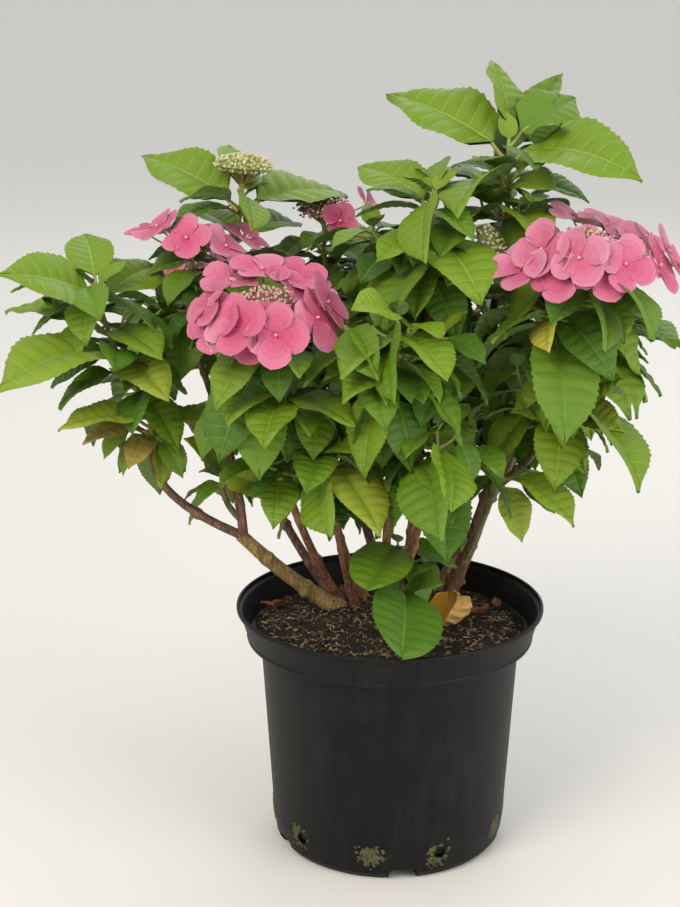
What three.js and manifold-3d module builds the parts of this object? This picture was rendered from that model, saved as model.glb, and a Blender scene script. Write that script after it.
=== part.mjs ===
// A lacecap hydrangea in a ten litre nursery pot.
// Woody canes rise from one crown in the compost and carry boughs. Each bough ends in a mass of foliage: short
// shoots with crossed pairs of broad, pointed leaves, some of them ending in a flat flower head.
// Millimetres, +Z up. The origin is the middle of the pot's flat underside, and -Y is the side with the most flowers.

import * as THREE from 'three';
import { mergeVertices } from 'three/addons/utils/BufferGeometryUtils.js';
import Module from 'manifold-3d';

const wasm = await Module();
wasm.setup();

// The gap left between two pieces that touch, and the grid that corners snap to.
const GAP = 0.3;
const SNAP = 0.002;

// Pot: a tapered shell with a deep collar, a rounded foot, arches cut under the foot and drain holes above it.
const POT = {
  height: 224,
  lipRadius: 138.5,
  lipHeight: 5,
  collarDrop: 31,
  collarFootRadius: 129,
  wallTopRadius: 117,
  wallLowRadius: 106.5,
  wallLowHeight: 23,
  footRadius: 99,
  wall: 2.4,
  floor: 3,
  segments: 32,
};
const ARCH = { count: 5, width: 25, height: 11, depth: 26, firstBearing: -84 };
const DRAIN = { count: 5, radius: 5, height: 24, offset: 18 };

// Compost: fills the pot to below the collar's lip.
const SOIL_TOP = 200;

// A leaf: its blade is widest nearer the stalk, folds up along the midrib and arches down towards a drawn-out tip.
const LEAF = {
  widthShare: 0.6,
  stalkShare: 0.2,
  stalkRadius: 1.5,
  thickness: 2.2,
  fold: 0.32,
  arch: 42,
  lowStation: 0.28,
  lowShare: 0.94,
  highStation: 0.66,
  highShare: 0.72,
};

// How leaves sit on a shoot.
const SHOOT = {
  radius: 2.4,
  nodes: [1, 15, 40, 68, 96, 124],
  sizes: [0.62, 0.92, 1, 0.94, 0.84, 0.7],
  riseStep: 12,
  turnJitter: 14,
  riseJitter: 10,
  rollJitter: 16,
  sizeJitter: 0.1,
  clearance: 9.5,
  retries: [0, 14, -14, 28, -28, 42, -42],
};

// A flat flower head: a low dome of small fertile buds, ringed by large four-petalled florets on thin stalks.
const HEAD = {
  neck: 26,
  domeRadius: 24,
  domeHeight: 8,
  budDomeHeight: 12,
  ringRise: 6,
  floretRadius: 29,
  floretNotch: 21,
  floretCup: 4,
  floretThickness: 1.8,
  floretTilt: 56,
  stalkRadius: 1.3,
};

// Canes and boughs. A cane starts at a foot on the compost, a bough part-way up the cane that carries it. towards is
// the compass bearing in degrees (0 is +X, 90 is +Y), lean the angle off vertical, length the chord, and bow how far
// the middle bulges out along the bearing.
const LIMBS = [
  { name: 'cane_left', foot: [-50, 46],
    towards: 197, lean: 48, length: 120, bow: 4, thick: 7, thin: 5.6 },
  { name: 'bough_left_low', on: 'cane_left', at: 1,
    towards: 195, lean: 41, length: 119, bow: 24, thick: 4.2, thin: 3 },
  { name: 'bough_left_up', on: 'cane_left', at: 0.96,
    towards: 136, lean: 18, length: 143, bow: -8, thick: 4.4, thin: 3.2 },
  { name: 'bough_left_mid', on: 'bough_left_up', at: 0.12,
    towards: 172, lean: 37, length: 24, bow: 2, thick: 3, thin: 2.6 },
  { name: 'cane_thin', foot: [-44, 60],
    towards: 235, lean: 28, length: 249, bow: 14, thick: 4, thin: 2.8 },
  { name: 'cane_back_left', foot: [-52, 74],
    towards: 140, lean: 38, length: 217, bow: 12, thick: 4.6, thin: 3 },
  { name: 'cane_mid', foot: [-30, 44],
    towards: 254, lean: 29, length: 169, bow: 8, thick: 4, thin: 3 },
  { name: 'cane_centre', foot: [-6, 34],
    towards: 272, lean: 26, length: 256, bow: 14, thick: 4.6, thin: 3 },
  { name: 'cane_centre_high', foot: [12, 52],
    towards: 292, lean: 10, length: 313, bow: 10, thick: 4.8, thin: 3 },
  { name: 'cane_centre_low', foot: [2, 22],
    towards: 287, lean: 31, length: 188, bow: 8, thick: 3.8, thin: 2.8 },
  { name: 'cane_back', foot: [0, 86],
    towards: 130, lean: 19, length: 256, bow: 14, thick: 5, thin: 3.2 },
  { name: 'cane_high', foot: [26, 66],
    towards: 342, lean: 13, length: 336, bow: 8, thick: 5.4, thin: 3.2 },
  { name: 'cane_right', foot: [54, 62],
    towards: 338, lean: 18, length: 197, bow: 4, thick: 7, thin: 5.8 },
  { name: 'bough_right_up', on: 'cane_right', at: 0.86,
    towards: 296, lean: 30, length: 113, bow: 4, thick: 4.2, thin: 3 },
  { name: 'bough_right_mid', on: 'cane_right', at: 0.6,
    towards: 335, lean: 41, length: 84, bow: 6, thick: 3.6, thin: 2.8 },
  { name: 'bough_right_low', on: 'cane_right', at: 0.22,
    towards: 292, lean: 35, length: 107, bow: 3, thick: 3.2, thin: 2.6 },
  { name: 'cane_back_right', foot: [44, 92],
    towards: 32, lean: 34, length: 229, bow: 12, thick: 4.8, thin: 3 },
  { name: 'cane_low', foot: [20, 30],
    towards: 255, lean: 35, length: 66, bow: 3, thick: 3.2, thin: 2.6 },
  { name: 'cane_inner_left', foot: [-22, 70],
    towards: 180, lean: 13, length: 187, bow: 10, thick: 4.4, thin: 3 },
  { name: 'cane_inner_right', foot: [30, 84],
    towards: 0, lean: 11, length: 201, bow: 10, thick: 4.4, thin: 3 },
];
const CANE_SIDES = 6;
const CANE_STEPS = 4;
const ROOT_FLARE = { share: 0.45, reach: 9, sunk: 6 };

// Masses of foliage, each on the tip of its limb. stem is the length of its own short stem, room the radius of its
// space. A shoot leaves the stem towards a bearing, leaning off vertical, for its reach. pairs counts its crossed
// pairs of leaves, leaf is the longest blade, turn the bearing of the top pair, and head how the shoot ends.
const MASSES = [
  {
    name: 'foliage_top_right', limb: 'cane_high', stem: 30, room: 190, seed: 11,
    shoots: [
      { on: 1, towards: 265, lean: 9, reach: 74, bend: 6,
        pairs: 4, turn: 80, rise: 40, leaf: 80, placed: [
        [0, 0, 35, 27, 49, 84, 30], [0, 1, 88, 45, 47, 88, 24],
        [1, 0, 155, 31, -32, 116, 30], [1, 1, 313, 15, 23, 118, 50],
        [2, 0, 294, 20, 27, 60, 40], [2, 1, 229, 15, 26, 92, 60],
        [3, 0, 286, 14, -6, 80, 50],
      ] },
      { on: 0.5, towards: 102, lean: 18, reach: 61, bend: 20,
        pairs: 3, turn: 60, rise: 26, leaf: 88, placed: [
        [0, 0, 44, 52, -5, 100, 20],
      ] },
    ],
  },
  {
    name: 'foliage_right_front', limb: 'bough_right_up', stem: 24, room: 220, seed: 23,
    shoots: [
      { on: 1, towards: 328, lean: 32, reach: 60, bend: 20,
        pairs: 4, turn: 20, rise: 2, leaf: 100, head: 'lace', florets: 10, ring: 60, placed: [
        [0, 0, 305, -5, -27, 100, 44], [0, 1, 191, -23, -4, 76, 44],
        [1, 0, 291, -9, -39, 86, 44], [1, 1, 104, -15, -70, 90, 30],
        [2, 0, 31, 3, 15, 104, 36], [2, 1, 240, -7, 44, 60, 44],
      ] },
      { on: 0.4, towards: 52, lean: 93, reach: 79, bend: 20,
        pairs: 3, turn: 10, rise: 4, leaf: 98, placed: [
        [0, 0, 309, 13, -5, 96, 30],
      ] },
    ],
  },
  {
    name: 'foliage_right_mid', limb: 'bough_right_mid', stem: 22, room: 190, seed: 37,
    shoots: [
      { on: 1, towards: 303, lean: 43, reach: 13, bend: 20,
        pairs: 4, turn: 0, rise: 10, leaf: 76, placed: [
        [0, 0, 301, 33, 61, 62, 30], [0, 1, 78, 35, -39, 66, 20],
        [1, 0, 308, 6, 28, 62, 34], [1, 1, 222, 22, -43, 62, 30],
        [2, 0, 307, -3, -20, 112, 50], [2, 1, 28, -21, 33, 72, 40],
      ] },
      { on: 0.5, towards: 102, lean: 103, reach: 72, bend: 20,
        pairs: 3, turn: 70, rise: 10, leaf: 80 },
      { on: 0.7, towards: 209, lean: 42, reach: 64, bend: 30,
        pairs: 3, turn: 230, rise: 2, leaf: 66 },
    ],
  },
  {
    name: 'foliage_right_low', limb: 'bough_right_low', stem: 14, room: 100, seed: 41,
    shoots: [
      { on: 1, towards: 12, lean: 81, reach: 7, bend: 20,
        pairs: 2, turn: 300, rise: -4, leaf: 62, placed: [
        [0, 0, 313, -2, -3, 76, 40], [0, 1, 221, 0, 9, 60, 40],
        [1, 0, 308, -49, 15, 52, 36],
      ] },
    ],
  },
  {
    name: 'foliage_left_front', limb: 'cane_thin', stem: 26, room: 170, seed: 53,
    shoots: [
      { on: 1, towards: 287, lean: 36, reach: 54, bend: 20,
        pairs: 4, turn: 250, rise: -14, leaf: 76, head: 'lace', florets: 8, ring: 47, placed: [
        [1, 0, 299, 7, -21, 70, 40], [1, 1, 234, 25, -3, 84, 44],
      ] },
      { on: 0.5, towards: 320, lean: 110, reach: 29, bend: 30,
        pairs: 3, turn: 270, rise: -6, leaf: 80, placed: [
        [0, 0, 259, 2, 5, 74, 36], [0, 1, 313, 10, 3, 76, 36],
        [1, 0, 52, 11, 9, 60, 36], [1, 1, 244, 12, 4, 70, 40],
      ] },
      { on: 0.7, towards: 121, lean: 95, reach: 35, bend: 30,
        pairs: 3, turn: 215, rise: -2, leaf: 74 },
      { on: 0.6, towards: 18, lean: 100, reach: 64, bend: 30,
        pairs: 3, turn: 330, rise: -2, leaf: 74 },
    ],
  },
  {
    name: 'foliage_left_back', limb: 'bough_left_up', stem: 26, room: 270, seed: 67,
    shoots: [
      { on: 1, towards: 35, lean: 19, reach: 150, bend: 14,
        pairs: 4, turn: 200, rise: 26, leaf: 88, head: 'bud', dome: 26, placed: [
        [1, 0, 157, 31, -31, 100, 30], [1, 1, 34, 13, 21, 110, 36],
        [0, 0, 98, 32, 26, 72, 20], [0, 1, 291, -7, -37, 60, 40],
        [2, 0, 43, 16, 18, 76, 40], [2, 1, 127, 29, 0, 60, 40],
      ] },
      { on: 0.3, towards: 63, lean: 19, reach: 53, bend: 30,
        pairs: 3, turn: 160, rise: 2, leaf: 80 },
      { on: 0.6, towards: 226, lean: 6, reach: 94, bend: 20,
        pairs: 3, turn: 120, rise: 0, leaf: 76, head: 'lace', florets: 7, ring: 44, placed: [
        [0, 0, 89, 29, 49, 52, 30], [1, 0, 293, -29, -57, 84, 44],
      ] },
    ],
  },
  {
    name: 'foliage_far_left', limb: 'bough_left_low', stem: 26, room: 250, seed: 79,
    shoots: [
      { on: 1, towards: 176, lean: 24, reach: 124, bend: 14,
        pairs: 5, turn: 150, rise: 14, leaf: 90, placed: [
        [1, 0, 236, 30, -48, 98, 36], [1, 1, 43, 27, 19, 86, 34],
        [0, 0, 105, 38, -3, 70, 30], [0, 1, 259, -20, 21, 58, 40],
        [2, 0, 163, 21, -13, 92, 40], [2, 1, 307, 9, 7, 72, 40],
        [3, 0, 232, 18, -13, 124, 50], [3, 1, 299, 3, 16, 74, 40],
      ] },
      { on: 0.4, towards: 265, lean: 57, reach: 24, bend: 30,
        pairs: 4, turn: 200, rise: -12, leaf: 58, placed: [
        [0, 0, 219, 21, -15, 78, 40], [0, 1, 31, 6, 9, 78, 30],
        [1, 0, 219, 17, -5, 62, 40], [1, 1, 50, 19, 18, 54, 30],
        [2, 0, 249, -9, -12, 44, 40], [2, 1, 299, -55, -28, 42, 30],
      ] },
    ],
  },
  {
    name: 'foliage_left_mid', limb: 'bough_left_mid', stem: 12, room: 90, seed: 83,
    shoots: [
      { on: 1, towards: 278, lean: 32, reach: 13, bend: 4,
        pairs: 2, turn: 180, rise: 0, leaf: 54, placed: [
        [0, 0, 247, 46, -76, 58, 26], [0, 1, 316, 6, 29, 66, 30],
        [1, 0, 85, 46, -21, 46, 30],
      ] },
    ],
  },
  {
    name: 'foliage_low', limb: 'cane_mid', stem: 14, room: 170, seed: 97,
    shoots: [
      { on: 1, towards: 235, lean: 27, reach: 19, bend: 20,
        pairs: 3, turn: 200, rise: 0, leaf: 66, placed: [
        [0, 0, 231, 9, -4, 62, 36], [0, 1, 299, 25, 24, 50, 36],
        [1, 0, 260, -19, 55, 80, 30], [1, 1, 315, -9, -4, 84, 30],
      ] },
      { on: 0.3, towards: 116, lean: 71, reach: 66, bend: 20,
        pairs: 3, turn: 150, rise: 4, leaf: 76 },
      { on: 0.8, towards: 167, lean: 87, reach: 61, bend: 30,
        pairs: 3, turn: 205, rise: -8, leaf: 64 },
      { on: 0.5, towards: 55, lean: 89, reach: 45, bend: 30,
        pairs: 3, turn: 330, rise: -6, leaf: 66 },
    ],
  },
  {
    name: 'foliage_centre', limb: 'cane_centre', stem: 28, room: 160, seed: 101,
    shoots: [
      { on: 1, towards: 31, lean: 7, reach: 42, bend: 20,
        pairs: 4, turn: 250, rise: 2, leaf: 74, placed: [
        [0, 0, 255, -26, 51, 80, 30], [0, 1, 243, 31, -35, 60, 36],
        [1, 0, 300, 2, -9, 72, 40], [1, 1, 229, 2, 7, 70, 40],
        [2, 0, 231, 1, 1, 60, 36], [2, 1, 37, 14, 19, 80, 40],
      ] },
      { on: 0.6, towards: 186, lean: 38, reach: 64, bend: 30,
        pairs: 3, turn: 290, rise: 0, leaf: 66, placed: [
        [0, 0, 300, -17, -23, 62, 30], [0, 1, 243, -2, 32, 60, 36],
        [1, 0, 311, -30, -8, 56, 36],
      ] },
      { on: 0.9, towards: 37, lean: 65, reach: 59, bend: 30,
        pairs: 4, turn: 320, rise: -4, leaf: 76 },
      { on: 0.4, towards: 107, lean: 86, reach: 53, bend: 30,
        pairs: 4, turn: 200, rise: -6, leaf: 72 },
    ],
  },
  {
    name: 'foliage_centre_low', limb: 'cane_centre_low', stem: 14, room: 150, seed: 113,
    shoots: [
      { on: 1, towards: 327, lean: 8, reach: 32, bend: 20,
        pairs: 4, turn: 280, rise: -10, leaf: 72, placed: [
        [0, 0, 49, 25, 13, 44, 30], [0, 1, 224, 9, 8, 62, 40],
        [1, 0, 245, -15, 41, 94, 34], [1, 1, 285, -10, -40, 80, 34],
        [2, 0, 245, 15, 1, 60, 36],
      ] },
      { on: 0.6, towards: 119, lean: 46, reach: 60, bend: 30,
        pairs: 4, turn: 240, rise: -4, leaf: 68 },
      { on: 0.7, towards: 41, lean: 78, reach: 53, bend: 30,
        pairs: 3, turn: 300, rise: -8, leaf: 66 },
    ],
  },
  {
    name: 'foliage_centre_high', limb: 'cane_centre_high', stem: 26, room: 190, seed: 127,
    shoots: [
      { on: 1, towards: 280, lean: 7, reach: 57, bend: 10,
        pairs: 5, turn: 170, rise: 20, leaf: 82, placed: [
        [1, 0, 135, 29, -15, 88, 34], [1, 1, 48, 33, -9, 72, 30],
        [0, 0, 253, -17, 40, 82, 34], [0, 1, 85, 32, -37, 56, 30],
        [2, 0, 290, -4, -1, 98, 36], [2, 1, 232, 10, -8, 66, 40],
        [3, 0, 240, -9, 15, 84, 40],
      ] },
      { on: 0.6, towards: 343, lean: 69, reach: 33, bend: 20,
        pairs: 2, turn: 60, rise: 14, leaf: 76, head: 'bud', dome: 18 },
      { on: 0.5, towards: 159, lean: 56, reach: 64, bend: 20,
        pairs: 4, turn: 215, rise: 8, leaf: 78 },
      { on: 0.4, towards: 101, lean: 88, reach: 70, bend: 20,
        pairs: 3, turn: 80, rise: 14, leaf: 84 },
    ],
  },
  {
    name: 'foliage_foot', limb: 'cane_low', stem: 10, room: 160, seed: 131,
    shoots: [
      { on: 1, towards: 163, lean: 8, reach: 17, bend: 6,
        pairs: 2, turn: 230, rise: -20, leaf: 56, placed: [
        [0, 0, 255, 3, -12, 84, 24], [0, 1, 322, 3, 15, 50, 36],
      ] },
      { on: 0.5, towards: 272, lean: 118, reach: 29, bend: 0,
        pairs: 1, turn: 270, rise: -20, leaf: 60, placed: [
        [0, 0, 271, 0, -18, 102, 24], [0, 1, 307, 30, 29, 46, 30],
      ] },
    ],
  },
  {
    name: 'foliage_inner_left', limb: 'cane_inner_left', stem: 24, room: 200, seed: 151,
    shoots: [
      { on: 1, towards: 200, lean: 30, reach: 50, bend: 20,
        pairs: 4, turn: 190, rise: 4, leaf: 84 },
      { on: 1, towards: 300, lean: 36, reach: 60, bend: 20,
        pairs: 4, turn: 250, rise: 2, leaf: 80 },
      { on: 1, towards: 30, lean: 26, reach: 80, bend: 20,
        pairs: 4, turn: 60, rise: 10, leaf: 84 },
    ],
  },
  {
    name: 'foliage_inner_right', limb: 'cane_inner_right', stem: 24, room: 190, seed: 157,
    shoots: [
      { on: 1, towards: 240, lean: 30, reach: 60, bend: 20,
        pairs: 4, turn: 230, rise: 4, leaf: 84 },
      { on: 1, towards: 320, lean: 40, reach: 56, bend: 20,
        pairs: 4, turn: 330, rise: 2, leaf: 80 },
      { on: 1, towards: 80, lean: 26, reach: 70, bend: 20,
        pairs: 3, turn: 80, rise: 10, leaf: 84 },
    ],
  },
  {
    name: 'foliage_back_left', limb: 'cane_back_left', stem: 30, room: 210, seed: 137,
    shoots: [
      { on: 1, towards: 100, lean: 34, reach: 76, bend: 20,
        pairs: 4, turn: 120, rise: 14, leaf: 96, head: 'lace', florets: 5, ring: 42 },
      { on: 1, towards: 165, lean: 52, reach: 76, bend: 20,
        pairs: 4, turn: 165, rise: 6, leaf: 92 },
      { on: 1, towards: 40, lean: 20, reach: 84, bend: 20,
        pairs: 4, turn: 30, rise: 22, leaf: 86 },
    ],
  },
  {
    name: 'foliage_back', limb: 'cane_back', stem: 30, room: 210, seed: 139,
    shoots: [
      { on: 1, towards: 262, lean: 24, reach: 70, bend: 20,
        pairs: 4, turn: 200, rise: 16, leaf: 86, head: 'lace', florets: 5, ring: 38 },
      { on: 1, towards: 95, lean: 48, reach: 80, bend: 20,
        pairs: 4, turn: 90, rise: 8, leaf: 96 },
      { on: 1, towards: 10, lean: 36, reach: 64, bend: 20,
        pairs: 4, turn: 40, rise: 14, leaf: 88 },
    ],
  },
  {
    name: 'foliage_back_right', limb: 'cane_back_right', stem: 28, room: 210, seed: 163,
    shoots: [
      { on: 1, towards: 70, lean: 34, reach: 76, bend: 20,
        pairs: 4, turn: 60, rise: 12, leaf: 96, head: 'lace', florets: 5, ring: 42 },
      { on: 1, towards: 5, lean: 50, reach: 66, bend: 20,
        pairs: 4, turn: 0, rise: 4, leaf: 88 },
      { on: 1, towards: 330, lean: 22, reach: 60, bend: 20,
        pairs: 3, turn: 300, rise: 10, leaf: 76 },
    ],
  },
];

// A withered leaf that lies curled on the compost.
const WITHERED = { at: [36, 22], turn: 12, rise: 20, roll: 42, length: 44, arch: 76 };

const COLOURS = {
  pot: { color: 0x26272a, roughness: 0.55 },
  compost: { color: 0x2b1d14, roughness: 0.98 },
  bark: { color: 0x7c6040, roughness: 0.85 },
  foliage: { color: 0x5a8a2c, roughness: 0.6 },
  blossom: { color: 0xe36a98, roughness: 0.6 },
  withered: { color: 0xc98a2e, roughness: 0.8 },
};

const UP = new THREE.Vector3(0, 0, 1);
const radians = THREE.MathUtils.degToRad;

// A repeatable stream of numbers from 0 to 1.
function seededStream(seed) {
  let state = seed;
  return () => {
    state = (state * 48271) % 2147483647;
    return state / 2147483647;
  };
}

// The unit vector on a compass bearing that leans off vertical.
function bearing(towards, lean) {
  const level = Math.sin(radians(lean));
  return new THREE.Vector3(
    level * Math.cos(radians(towards)),
    level * Math.sin(radians(towards)),
    Math.cos(radians(lean)),
  );
}

// A closed solid from a geometry, and a geometry from a solid.
function toSolid(geometry) {
  const bare = geometry.clone();
  bare.deleteAttribute('normal');
  bare.deleteAttribute('uv');
  const merged = mergeVertices(bare, 1e-4);
  return new wasm.Manifold(new wasm.Mesh({
    numProp: 3,
    vertProperties: new Float32Array(merged.getAttribute('position').array),
    triVerts: new Uint32Array(merged.index.array),
  }));
}

// Corners snap to a fine grid, and faces that fold flat against each other there are left out.
function toGeometry(solid) {
  const { vertProperties, triVerts } = solid.getMesh();
  const numbers = new Map();
  const corners = [];
  const snapped = Array.from({ length: vertProperties.length / 3 }, (_, vertex) => {
    const cell = Array.from(vertProperties.slice(vertex * 3, vertex * 3 + 3), (value) => Math.round(value / SNAP));
    const key = cell.join();
    if (!numbers.has(key)) {
      numbers.set(key, corners.length / 3);
      corners.push(...cell.map((value) => value * SNAP));
    }
    return numbers.get(key);
  });
  const faces = new Map();
  for (let i = 0; i < triVerts.length; i += 3) {
    const [a, b, c] = [0, 1, 2].map((k) => snapped[triVerts[i + k]]);
    if (a === b || b === c || c === a) continue;
    const turns = [[a, b, c], [b, c, a], [c, a, b]];
    const backs = [[c, b, a], [b, a, c], [a, c, b]];
    const facing = backs.map((face) => face.join()).find((key) => faces.has(key));
    if (facing) faces.delete(facing);
    else faces.set(turns[0].join(), turns[0]);
  }
  const geometry = new THREE.BufferGeometry();
  geometry.setAttribute('position', new THREE.Float32BufferAttribute(corners, 3));
  geometry.setIndex([...faces.values()].flat());
  geometry.computeVertexNormals();
  return geometry;
}

// Whether two solids share space. Solids whose boxes are apart are told apart without a cut.
function touches(a, b) {
  const [boxA, boxB] = [a.boundingBox(), b.boundingBox()];
  if ([0, 1, 2].some((axis) => boxA.min[axis] > boxB.max[axis] || boxB.min[axis] > boxA.max[axis])) return false;
  const shared = a.intersect(b);
  const isShared = shared.volume() > 0;
  shared.delete();
  return isShared;
}

function joined(solids) {
  return solids.reduce((all, solid) => all.add(solid));
}

// The largest of a solid's separate bodies, so that a scrap left by a cut is dropped.
function largestBody(solid) {
  return solid.decompose().reduce((best, body) => (body.volume() > best.volume() ? body : best));
}

// A solid turned from a profile of [radius, height] points around the Z axis.
function turned(profile, segments) {
  const points = profile.map(([radius, height]) => new THREE.Vector2(radius, height));
  return toSolid(new THREE.LatheGeometry(points, segments).rotateX(Math.PI / 2));
}

// The pot's outside, drawn in by inset for its inside.
function potProfile(inset, bottom, top) {
  const wallHeight = POT.height - POT.collarDrop;
  return [
    [0, bottom],
    [POT.footRadius - inset, bottom],
    [POT.footRadius + 5 - inset, bottom + 6],
    [POT.wallLowRadius - inset, POT.wallLowHeight],
    [POT.wallTopRadius - inset, wallHeight],
    [POT.collarFootRadius - inset, wallHeight + (inset > 0 ? 5 : 0)],
    [POT.lipRadius - 3 - inset, POT.height - POT.lipHeight],
    [POT.lipRadius - inset, POT.height - POT.lipHeight + 1],
    [POT.lipRadius - inset, top],
    [0, top],
  ];
}

// The arches under the foot, grown all round by margin.
function archBlocks(margin) {
  const height = ARCH.height + margin;
  const blocks = [];
  for (let i = 0; i < ARCH.count; i += 1) {
    const block = new THREE.BoxGeometry(ARCH.depth * 2 + margin * 2, ARCH.width + margin * 2, height * 2);
    block.translate(POT.footRadius + 5, 0, 0);
    block.rotateZ(radians(ARCH.firstBearing + (i * 360) / ARCH.count));
    blocks.push(toSolid(block));
  }
  return joined(blocks);
}

function drainHoles() {
  const holes = [];
  for (let i = 0; i < DRAIN.count; i += 1) {
    const hole = new THREE.CylinderGeometry(DRAIN.radius, DRAIN.radius, 30, 6);
    hole.rotateZ(Math.PI / 2);
    hole.translate(POT.wallLowRadius, 0, DRAIN.height);
    hole.rotateZ(radians(ARCH.firstBearing + DRAIN.offset + (i * 360) / DRAIN.count));
    holes.push(toSolid(hole));
  }
  return joined(holes);
}

function potSolid() {
  const inside = turned(potProfile(POT.wall, POT.floor, POT.height + 1), POT.segments);
  return turned(potProfile(0, 0, POT.height), POT.segments)
    .subtract(archBlocks(0))
    .subtract(inside.subtract(archBlocks(POT.wall)))
    .subtract(drainHoles());
}

function compostSolid() {
  const clear = POT.wall + GAP;
  return turned(potProfile(clear, ARCH.height + clear, POT.height), POT.segments)
    .intersect(toSolid(new THREE.BoxGeometry(400, 400, SOIL_TOP * 2)));
}

// A limb's line, an arc in the upright plane of its bearing, and the level vector across that plane.
function limbLine(start, { towards, lean, length, bow }) {
  const end = start.clone().addScaledVector(bearing(towards, lean), length);
  const middle = start.clone().lerp(end, 0.5).addScaledVector(bearing(towards, 90), bow * 2);
  return { curve: new THREE.QuadraticBezierCurve3(start, middle, end), across: bearing(towards + 90, 90) };
}

// A cylinder that tapers from thick to thin, bent along a line. It reaches past the line's ends by below and above.
function bentTaper({ curve, across }, { thick, thin, sides, steps, below = 0, above = 0, flare = 0 }) {
  const length = curve.getLength();
  const geometry = new THREE.CylinderGeometry(thin, thick, 1, sides, steps);
  const position = geometry.getAttribute('position');
  for (let i = 0; i < position.count; i += 1) {
    const share = position.getY(i) + 0.5;
    const tangent = curve.getTangent(share);
    const side = new THREE.Vector3().crossVectors(across, tangent);
    const spread = 1 + flare * Math.exp((-share * length) / ROOT_FLARE.reach);
    const end = share * above - (1 - share) * below;
    const point = curve.getPoint(share)
      .addScaledVector(tangent, end)
      .addScaledVector(across, position.getX(i) * spread)
      .addScaledVector(side, position.getZ(i) * spread);
    position.setXYZ(i, point.x, point.y, point.z);
  }
  return toSolid(geometry);
}

// Every limb as { line, solid, skin }. The skin is the limb grown by the gap, which later pieces are cut clear of.
function growLimbs() {
  const limbs = new Map();
  const ground = toSolid(new THREE.BoxGeometry(600, 600, 400).translate(0, 0, SOIL_TOP + GAP - 200));
  for (const limb of LIMBS) {
    const carrier = limbs.get(limb.on);
    const start = carrier
      ? carrier.line.curve.getPoint(limb.at)
      : new THREE.Vector3(limb.foot[0], limb.foot[1], SOIL_TOP + GAP);
    const line = limbLine(start, limb);
    const shape = { thick: limb.thick, thin: limb.thin, sides: CANE_SIDES, steps: CANE_STEPS };
    const flare = carrier ? 0 : ROOT_FLARE.share;
    const below = carrier ? 0 : ROOT_FLARE.sunk;
    let solid = bentTaper(line, { ...shape, flare, below });
    if (!carrier) solid = solid.subtract(ground);
    for (const earlier of limbs.values()) solid = solid.subtract(earlier.skin);
    const grown = { ...shape, thick: limb.thick + GAP, thin: limb.thin + GAP, flare, below: below + GAP, above: GAP };
    limbs.set(limb.name, { line, solid: largestBody(solid), skin: bentTaper(line, grown) });
  }
  return limbs;
}

// The frame of one leaf on a shoot: where its stalk leaves, and the way its blade points, spreads and faces.
function leafFrame(root, { turn, rise, roll, length, arch }) {
  const level = bearing(turn, 90);
  const forward = level.clone().multiplyScalar(Math.cos(radians(rise))).addScaledVector(UP, Math.sin(radians(rise)));
  const stalkRise = radians(rise + 18);
  const stalk = level.clone().multiplyScalar(Math.cos(stalkRise)).addScaledVector(UP, Math.sin(stalkRise));
  const side = new THREE.Vector3().crossVectors(UP, level).applyAxisAngle(forward, radians(roll));
  const face = new THREE.Vector3().crossVectors(forward, side);
  const base = root.clone().addScaledVector(stalk, length * LEAF.stalkShare);
  return { root, base, forward, side, face, length, arch };
}

// A point of the blade: share runs from stalk to tip along the arched midrib, and reach sideways from it.
function bladePoint({ base, forward, side, face, length, arch }, share, reach, lift) {
  const bow = radians(arch);
  const turn = bow * share;
  const along = forward.clone().multiplyScalar(Math.cos(turn)).addScaledVector(face, -Math.sin(turn));
  const up = new THREE.Vector3().crossVectors(along, side);
  return base.clone()
    .addScaledVector(forward, (length * Math.sin(turn)) / bow)
    .addScaledVector(face, (-length * (1 - Math.cos(turn))) / bow)
    .addScaledVector(side, reach)
    .addScaledVector(up, lift + Math.abs(reach) * LEAF.fold);
}

// Points spread over the stalk and blade, which keep leaves apart.
function leafSamples(frame) {
  const halfWidth = (frame.length * LEAF.widthShare) / 2;
  const samples = [];
  for (const [share, width] of [[0.12, 0.6], [0.36, 0.92], [0.6, 0.78], [0.82, 0.4]]) {
    for (const across of [-1, 0, 1]) samples.push(bladePoint(frame, share, across * width * halfWidth, 0));
  }
  samples.push(bladePoint(frame, 1, 0, 0));
  return samples;
}

// A closed solid over rings of four points, drawn to a single point at each end.
function ringedSolid(start, rings, end) {
  const points = [start, ...rings.flat(), end];
  const index = [];
  for (let k = 0; k < 4; k += 1) {
    const next = (k + 1) % 4;
    index.push(0, 1 + next, 1 + k);
    for (let ring = 0; ring + 1 < rings.length; ring += 1) {
      const a = 1 + ring * 4 + k;
      const b = 1 + ring * 4 + next;
      index.push(a, b, b + 4, a, b + 4, a + 4);
    }
    const last = 1 + (rings.length - 1) * 4;
    index.push(last + k, last + next, points.length - 1);
  }
  return toSolid(new THREE.BufferGeometry().setFromPoints(points).setIndex(index));
}

// A leaf as a solid. A simple one draws its blade straight from the shoot and shows no separate stalk.
function leafSolid(frame, isSimple = false) {
  const halfWidth = (frame.length * LEAF.widthShare) / 2;
  const half = LEAF.thickness / 2;
  const ring = (share, reach, thick) => [
    bladePoint(frame, share, -reach, 0),
    bladePoint(frame, share, 0, -thick),
    bladePoint(frame, share, reach, 0),
    bladePoint(frame, share, 0, thick),
  ];
  return ringedSolid(frame.root, [
    ...(isSimple ? [] : [ring(0, LEAF.stalkRadius, LEAF.stalkRadius)]),
    ring(LEAF.lowStation, halfWidth * LEAF.lowShare, half),
    ring(LEAF.highStation, halfWidth * LEAF.highShare, half * 0.8),
  ], bladePoint(frame, 1, 0, 0));
}

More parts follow.
